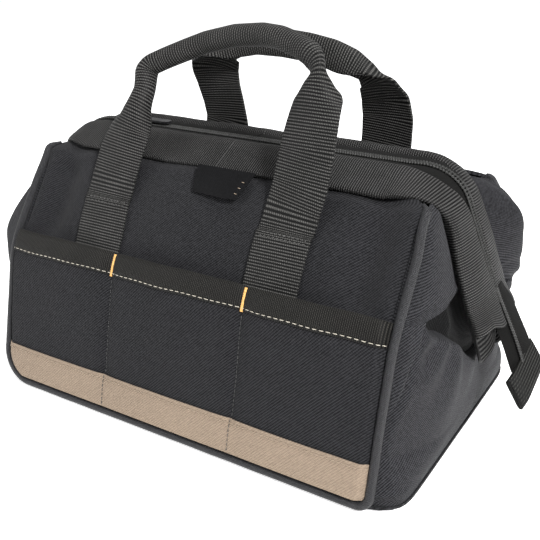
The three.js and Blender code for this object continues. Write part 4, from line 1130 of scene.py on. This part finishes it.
BACK_GRIP = [
    (73, -64, 160, 0, -0.9, 0.4, 0.05), (75.5, -60.5, 180, 0, -0.97, 0.2, 0.08),
    (77, -57, 195, 0, -0.97, 0.2, 0.1), (76.5, -53, 208, 0.08, -0.95, 0.25, 0.15),
    (73, -49, 220, 0.3, -0.88, 0.4, 0.4), (66.5, -45.5, 229, 0.5, -0.55, 0.7, 1.1, 0.2),
    (55, -43, 234.5, 0.35, -0.25, 0.9, 2, 0.6), (40, -41.5, 238.5, 0.1, -0.1, 0.99, 2.7, 0.9),
    (22, -40.5, 241.5, 0, 0, 1, 3, 1), (0, -40, 243.5, 0, 0, 1, 3, 1),
    (-22, -40.5, 243.5, 0, 0, 1, 3, 1), (-40, -41.5, 241, -0.15, -0.1, 0.99, 2.7, 0.9),
    (-52, -43.5, 237.5, -0.35, -0.25, 0.9, 1.9, 0.5), (-61, -46, 230, -0.55, -0.6, 0.6, 0.9, 0.1),
    (-65, -49, 220, -0.25, -0.92, 0.3, 0.35), (-65, -53, 207, -0.05, -0.97, 0.2, 0.1),
    (-63.5, -57, 193, 0, -0.97, 0.2, 0.08), (-62.5, -60.5, 178, 0, -0.95, 0.3, 0.08),
    (-66, -64, 160, 0, -0.88, 0.45, 0.05)]


def anchor_stitches(name, foot_x, row_x, side, seed):
    """Double row of stitches at the top of a sewn end."""
    line = [(offset, 145) for offset in range(-16, 17, 2)]
    line += [(offset, 147.5) for offset in range(16, -17, -2)]
    offset, s = np.array(line).T
    x = leg_x(foot_x, row_x, s) + offset
    spots = wall(x, s, 4.0 + wall_bulge(x, s, seed))
    out = mirror(wall_normal(LEAN_HIGH), 1, side)
    return stitches(name, mirror(spots, 1, side), out, 2.3, 3.0, 0.34, STRAP_THREAD)


for face, side, grip, legs in (("front", 1, FRONT_GRIP, ((68, 67), (-71, -76.5))),
                               ("back", -1, BACK_GRIP, ((72, 72), (-72, -72)))):
    seed = WALL_SEEDS[face]
    free = [(*station, 0.0)[:8] + (0, 151) for station in grip]
    stations = leg_stations(*legs[0]) + free + leg_stations(*legs[1])[::-1]
    rings, t, cols = strap(stations, seed)
    uv = join(t[:, None], np.concatenate([cols, cols[::-1]]))
    handle = loft(f"{face}_handle_webbing", mirror(rings, 1, side), uv, WEBBING, flip=side < 0)
    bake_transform(handle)
    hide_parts(f"{face}_handle", f"{face}_left_handle_anchor", f"{face}_right_handle_anchor")
    for leg, (foot_x, row_x) in zip(("right", "left"), legs):
        sewing = anchor_stitches(f"{face}_{leg}_anchor_stitches", foot_x, row_x, side, seed)
        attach(sewing, f"{face}_wall")


# Blank woven patch that hangs from under the front sleeve's edge, with three stitches by its right end
PATCH_X, PATCH_HALF, PATCH_TALL = 12, 22.5, 19
PATCH_TOP = np.array([0, -50.0, 173.8])
PATCH_FOOT = np.array([0, -62.6, 158.3])
u_grid, v_grid = grid(np.linspace(-1, 1, 40), np.linspace(0, 1, 20))
low = 1 - v_grid
p = PATCH_FOOT * low[..., None] + PATCH_TOP * v_grid[..., None]
p[..., 0] = PATCH_X + u_grid * PATCH_HALF + low * (2.5 * np.clip(-u_grid, 0, 1) - 7 * np.clip(u_grid, 0, 1))
p[..., 1] -= 0.9 * np.sin(u_grid * 2.6 + 0.6) * low + 0.8 * np.sin(pi * v_grid)
uv = join(u_grid * PATCH_HALF, v_grid * PATCH_TALL)
patch = skin("front_blank_patch", p, uv, 0.6, PATCH)
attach(patch, "front_wall")
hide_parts("front_patch")
across = np.array([1.0, 0.1, -0.2])
for k in range(3):
    spot = p[36, 4 + 4 * k] + np.array([0, -0.5, 0.3])
    path = np.stack([spot - across * 1.2, spot, spot + across * 1.4])
    tack = stitches(f"patch_edge_stitch_{k}", path, np.array([0, -0.85, 0.5]), 2.0, 3.0, 0.2, TAN_THREAD)
    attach(tack, "front_wall")


# Materials of the rigid CAD pieces that stay
for node, material in (("zipper_slider", ENAMEL), ("zipper_pull", ENAMEL), ("front_frame_wire", STEEL),
                       ("back_frame_wire", STEEL), ("base_board", BOARD)):
    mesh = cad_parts[node].data
    mesh.materials.clear()
    mesh.materials.append(material)


# Floor, lights and camera, in metres
FLOOR_REACH, FLOOR_Z = 6, -0.0012
floor_mesh = bpy.data.meshes.new("floor")
floor_corners = [(x * FLOOR_REACH, y * FLOOR_REACH, FLOOR_Z) for x, y in ((-1, -1), (1, -1), (1, 1), (-1, 1))]
floor_mesh.from_pydata(floor_corners, [], [(0, 1, 2, 3)])
floor = put_object("floor", floor_mesh)
paper = Shade("paper_floor", 0.9, spec=0.1)
paper.color(paper.noise(3, 2), (0.90, 0.90, 0.90), (0.93, 0.93, 0.93))
paper.fill(paper.shader, {"Emission Color": (1, 1, 1, 1), "Emission Strength": 0.6})
floor_mesh.materials.append(paper.material)

world = bpy.data.worlds.new("studio")
bpy.context.scene.world = world
world.use_nodes = True
sky = world.node_tree.nodes["Background"].inputs
sky["Color"].default_value = (1.0, 1.0, 1.0, 1)
sky["Strength"].default_value = 0.4


def area(name, place, target, size, power):
    data = bpy.data.lights.new(name, "AREA")
    data.shape = "RECTANGLE"
    data.size, data.size_y = size
    data.energy = power
    lamp = put_object(name, data)
    lamp.location = place
    away = np.array(place) - np.array(target)
    yaw = atan2(away[1], away[0]) + pi / 2
    pitch = atan2(hypot(away[0], away[1]), away[2])
    lamp.rotation_euler = (pitch, 0, yaw)


area("key", (1.35, -0.75, 1.3), (0, 0, 0.1), (0.4, 0.4), 58)
area("left_fill", (-1.3, -1.2, 0.9), (-0.05, 0, 0.1), (0.6, 0.6), 16)
area("top", (0.1, 0.3, 1.8), (0, 0, 0.1), (0.8, 0.5), 22)

camera_data = bpy.data.cameras.new("camera")
camera_data.sensor_width = 36
camera_data.lens = 53.78
camera = put_object("camera", camera_data)
camera.location = (0.3029, -0.46896, 0.3153)
camera.rotation_euler = (radians(90 - 22.7), 0, radians(31.6))
bpy.context.scene.camera = camera
bpy.context.scene.view_settings.view_transform = "Standard"
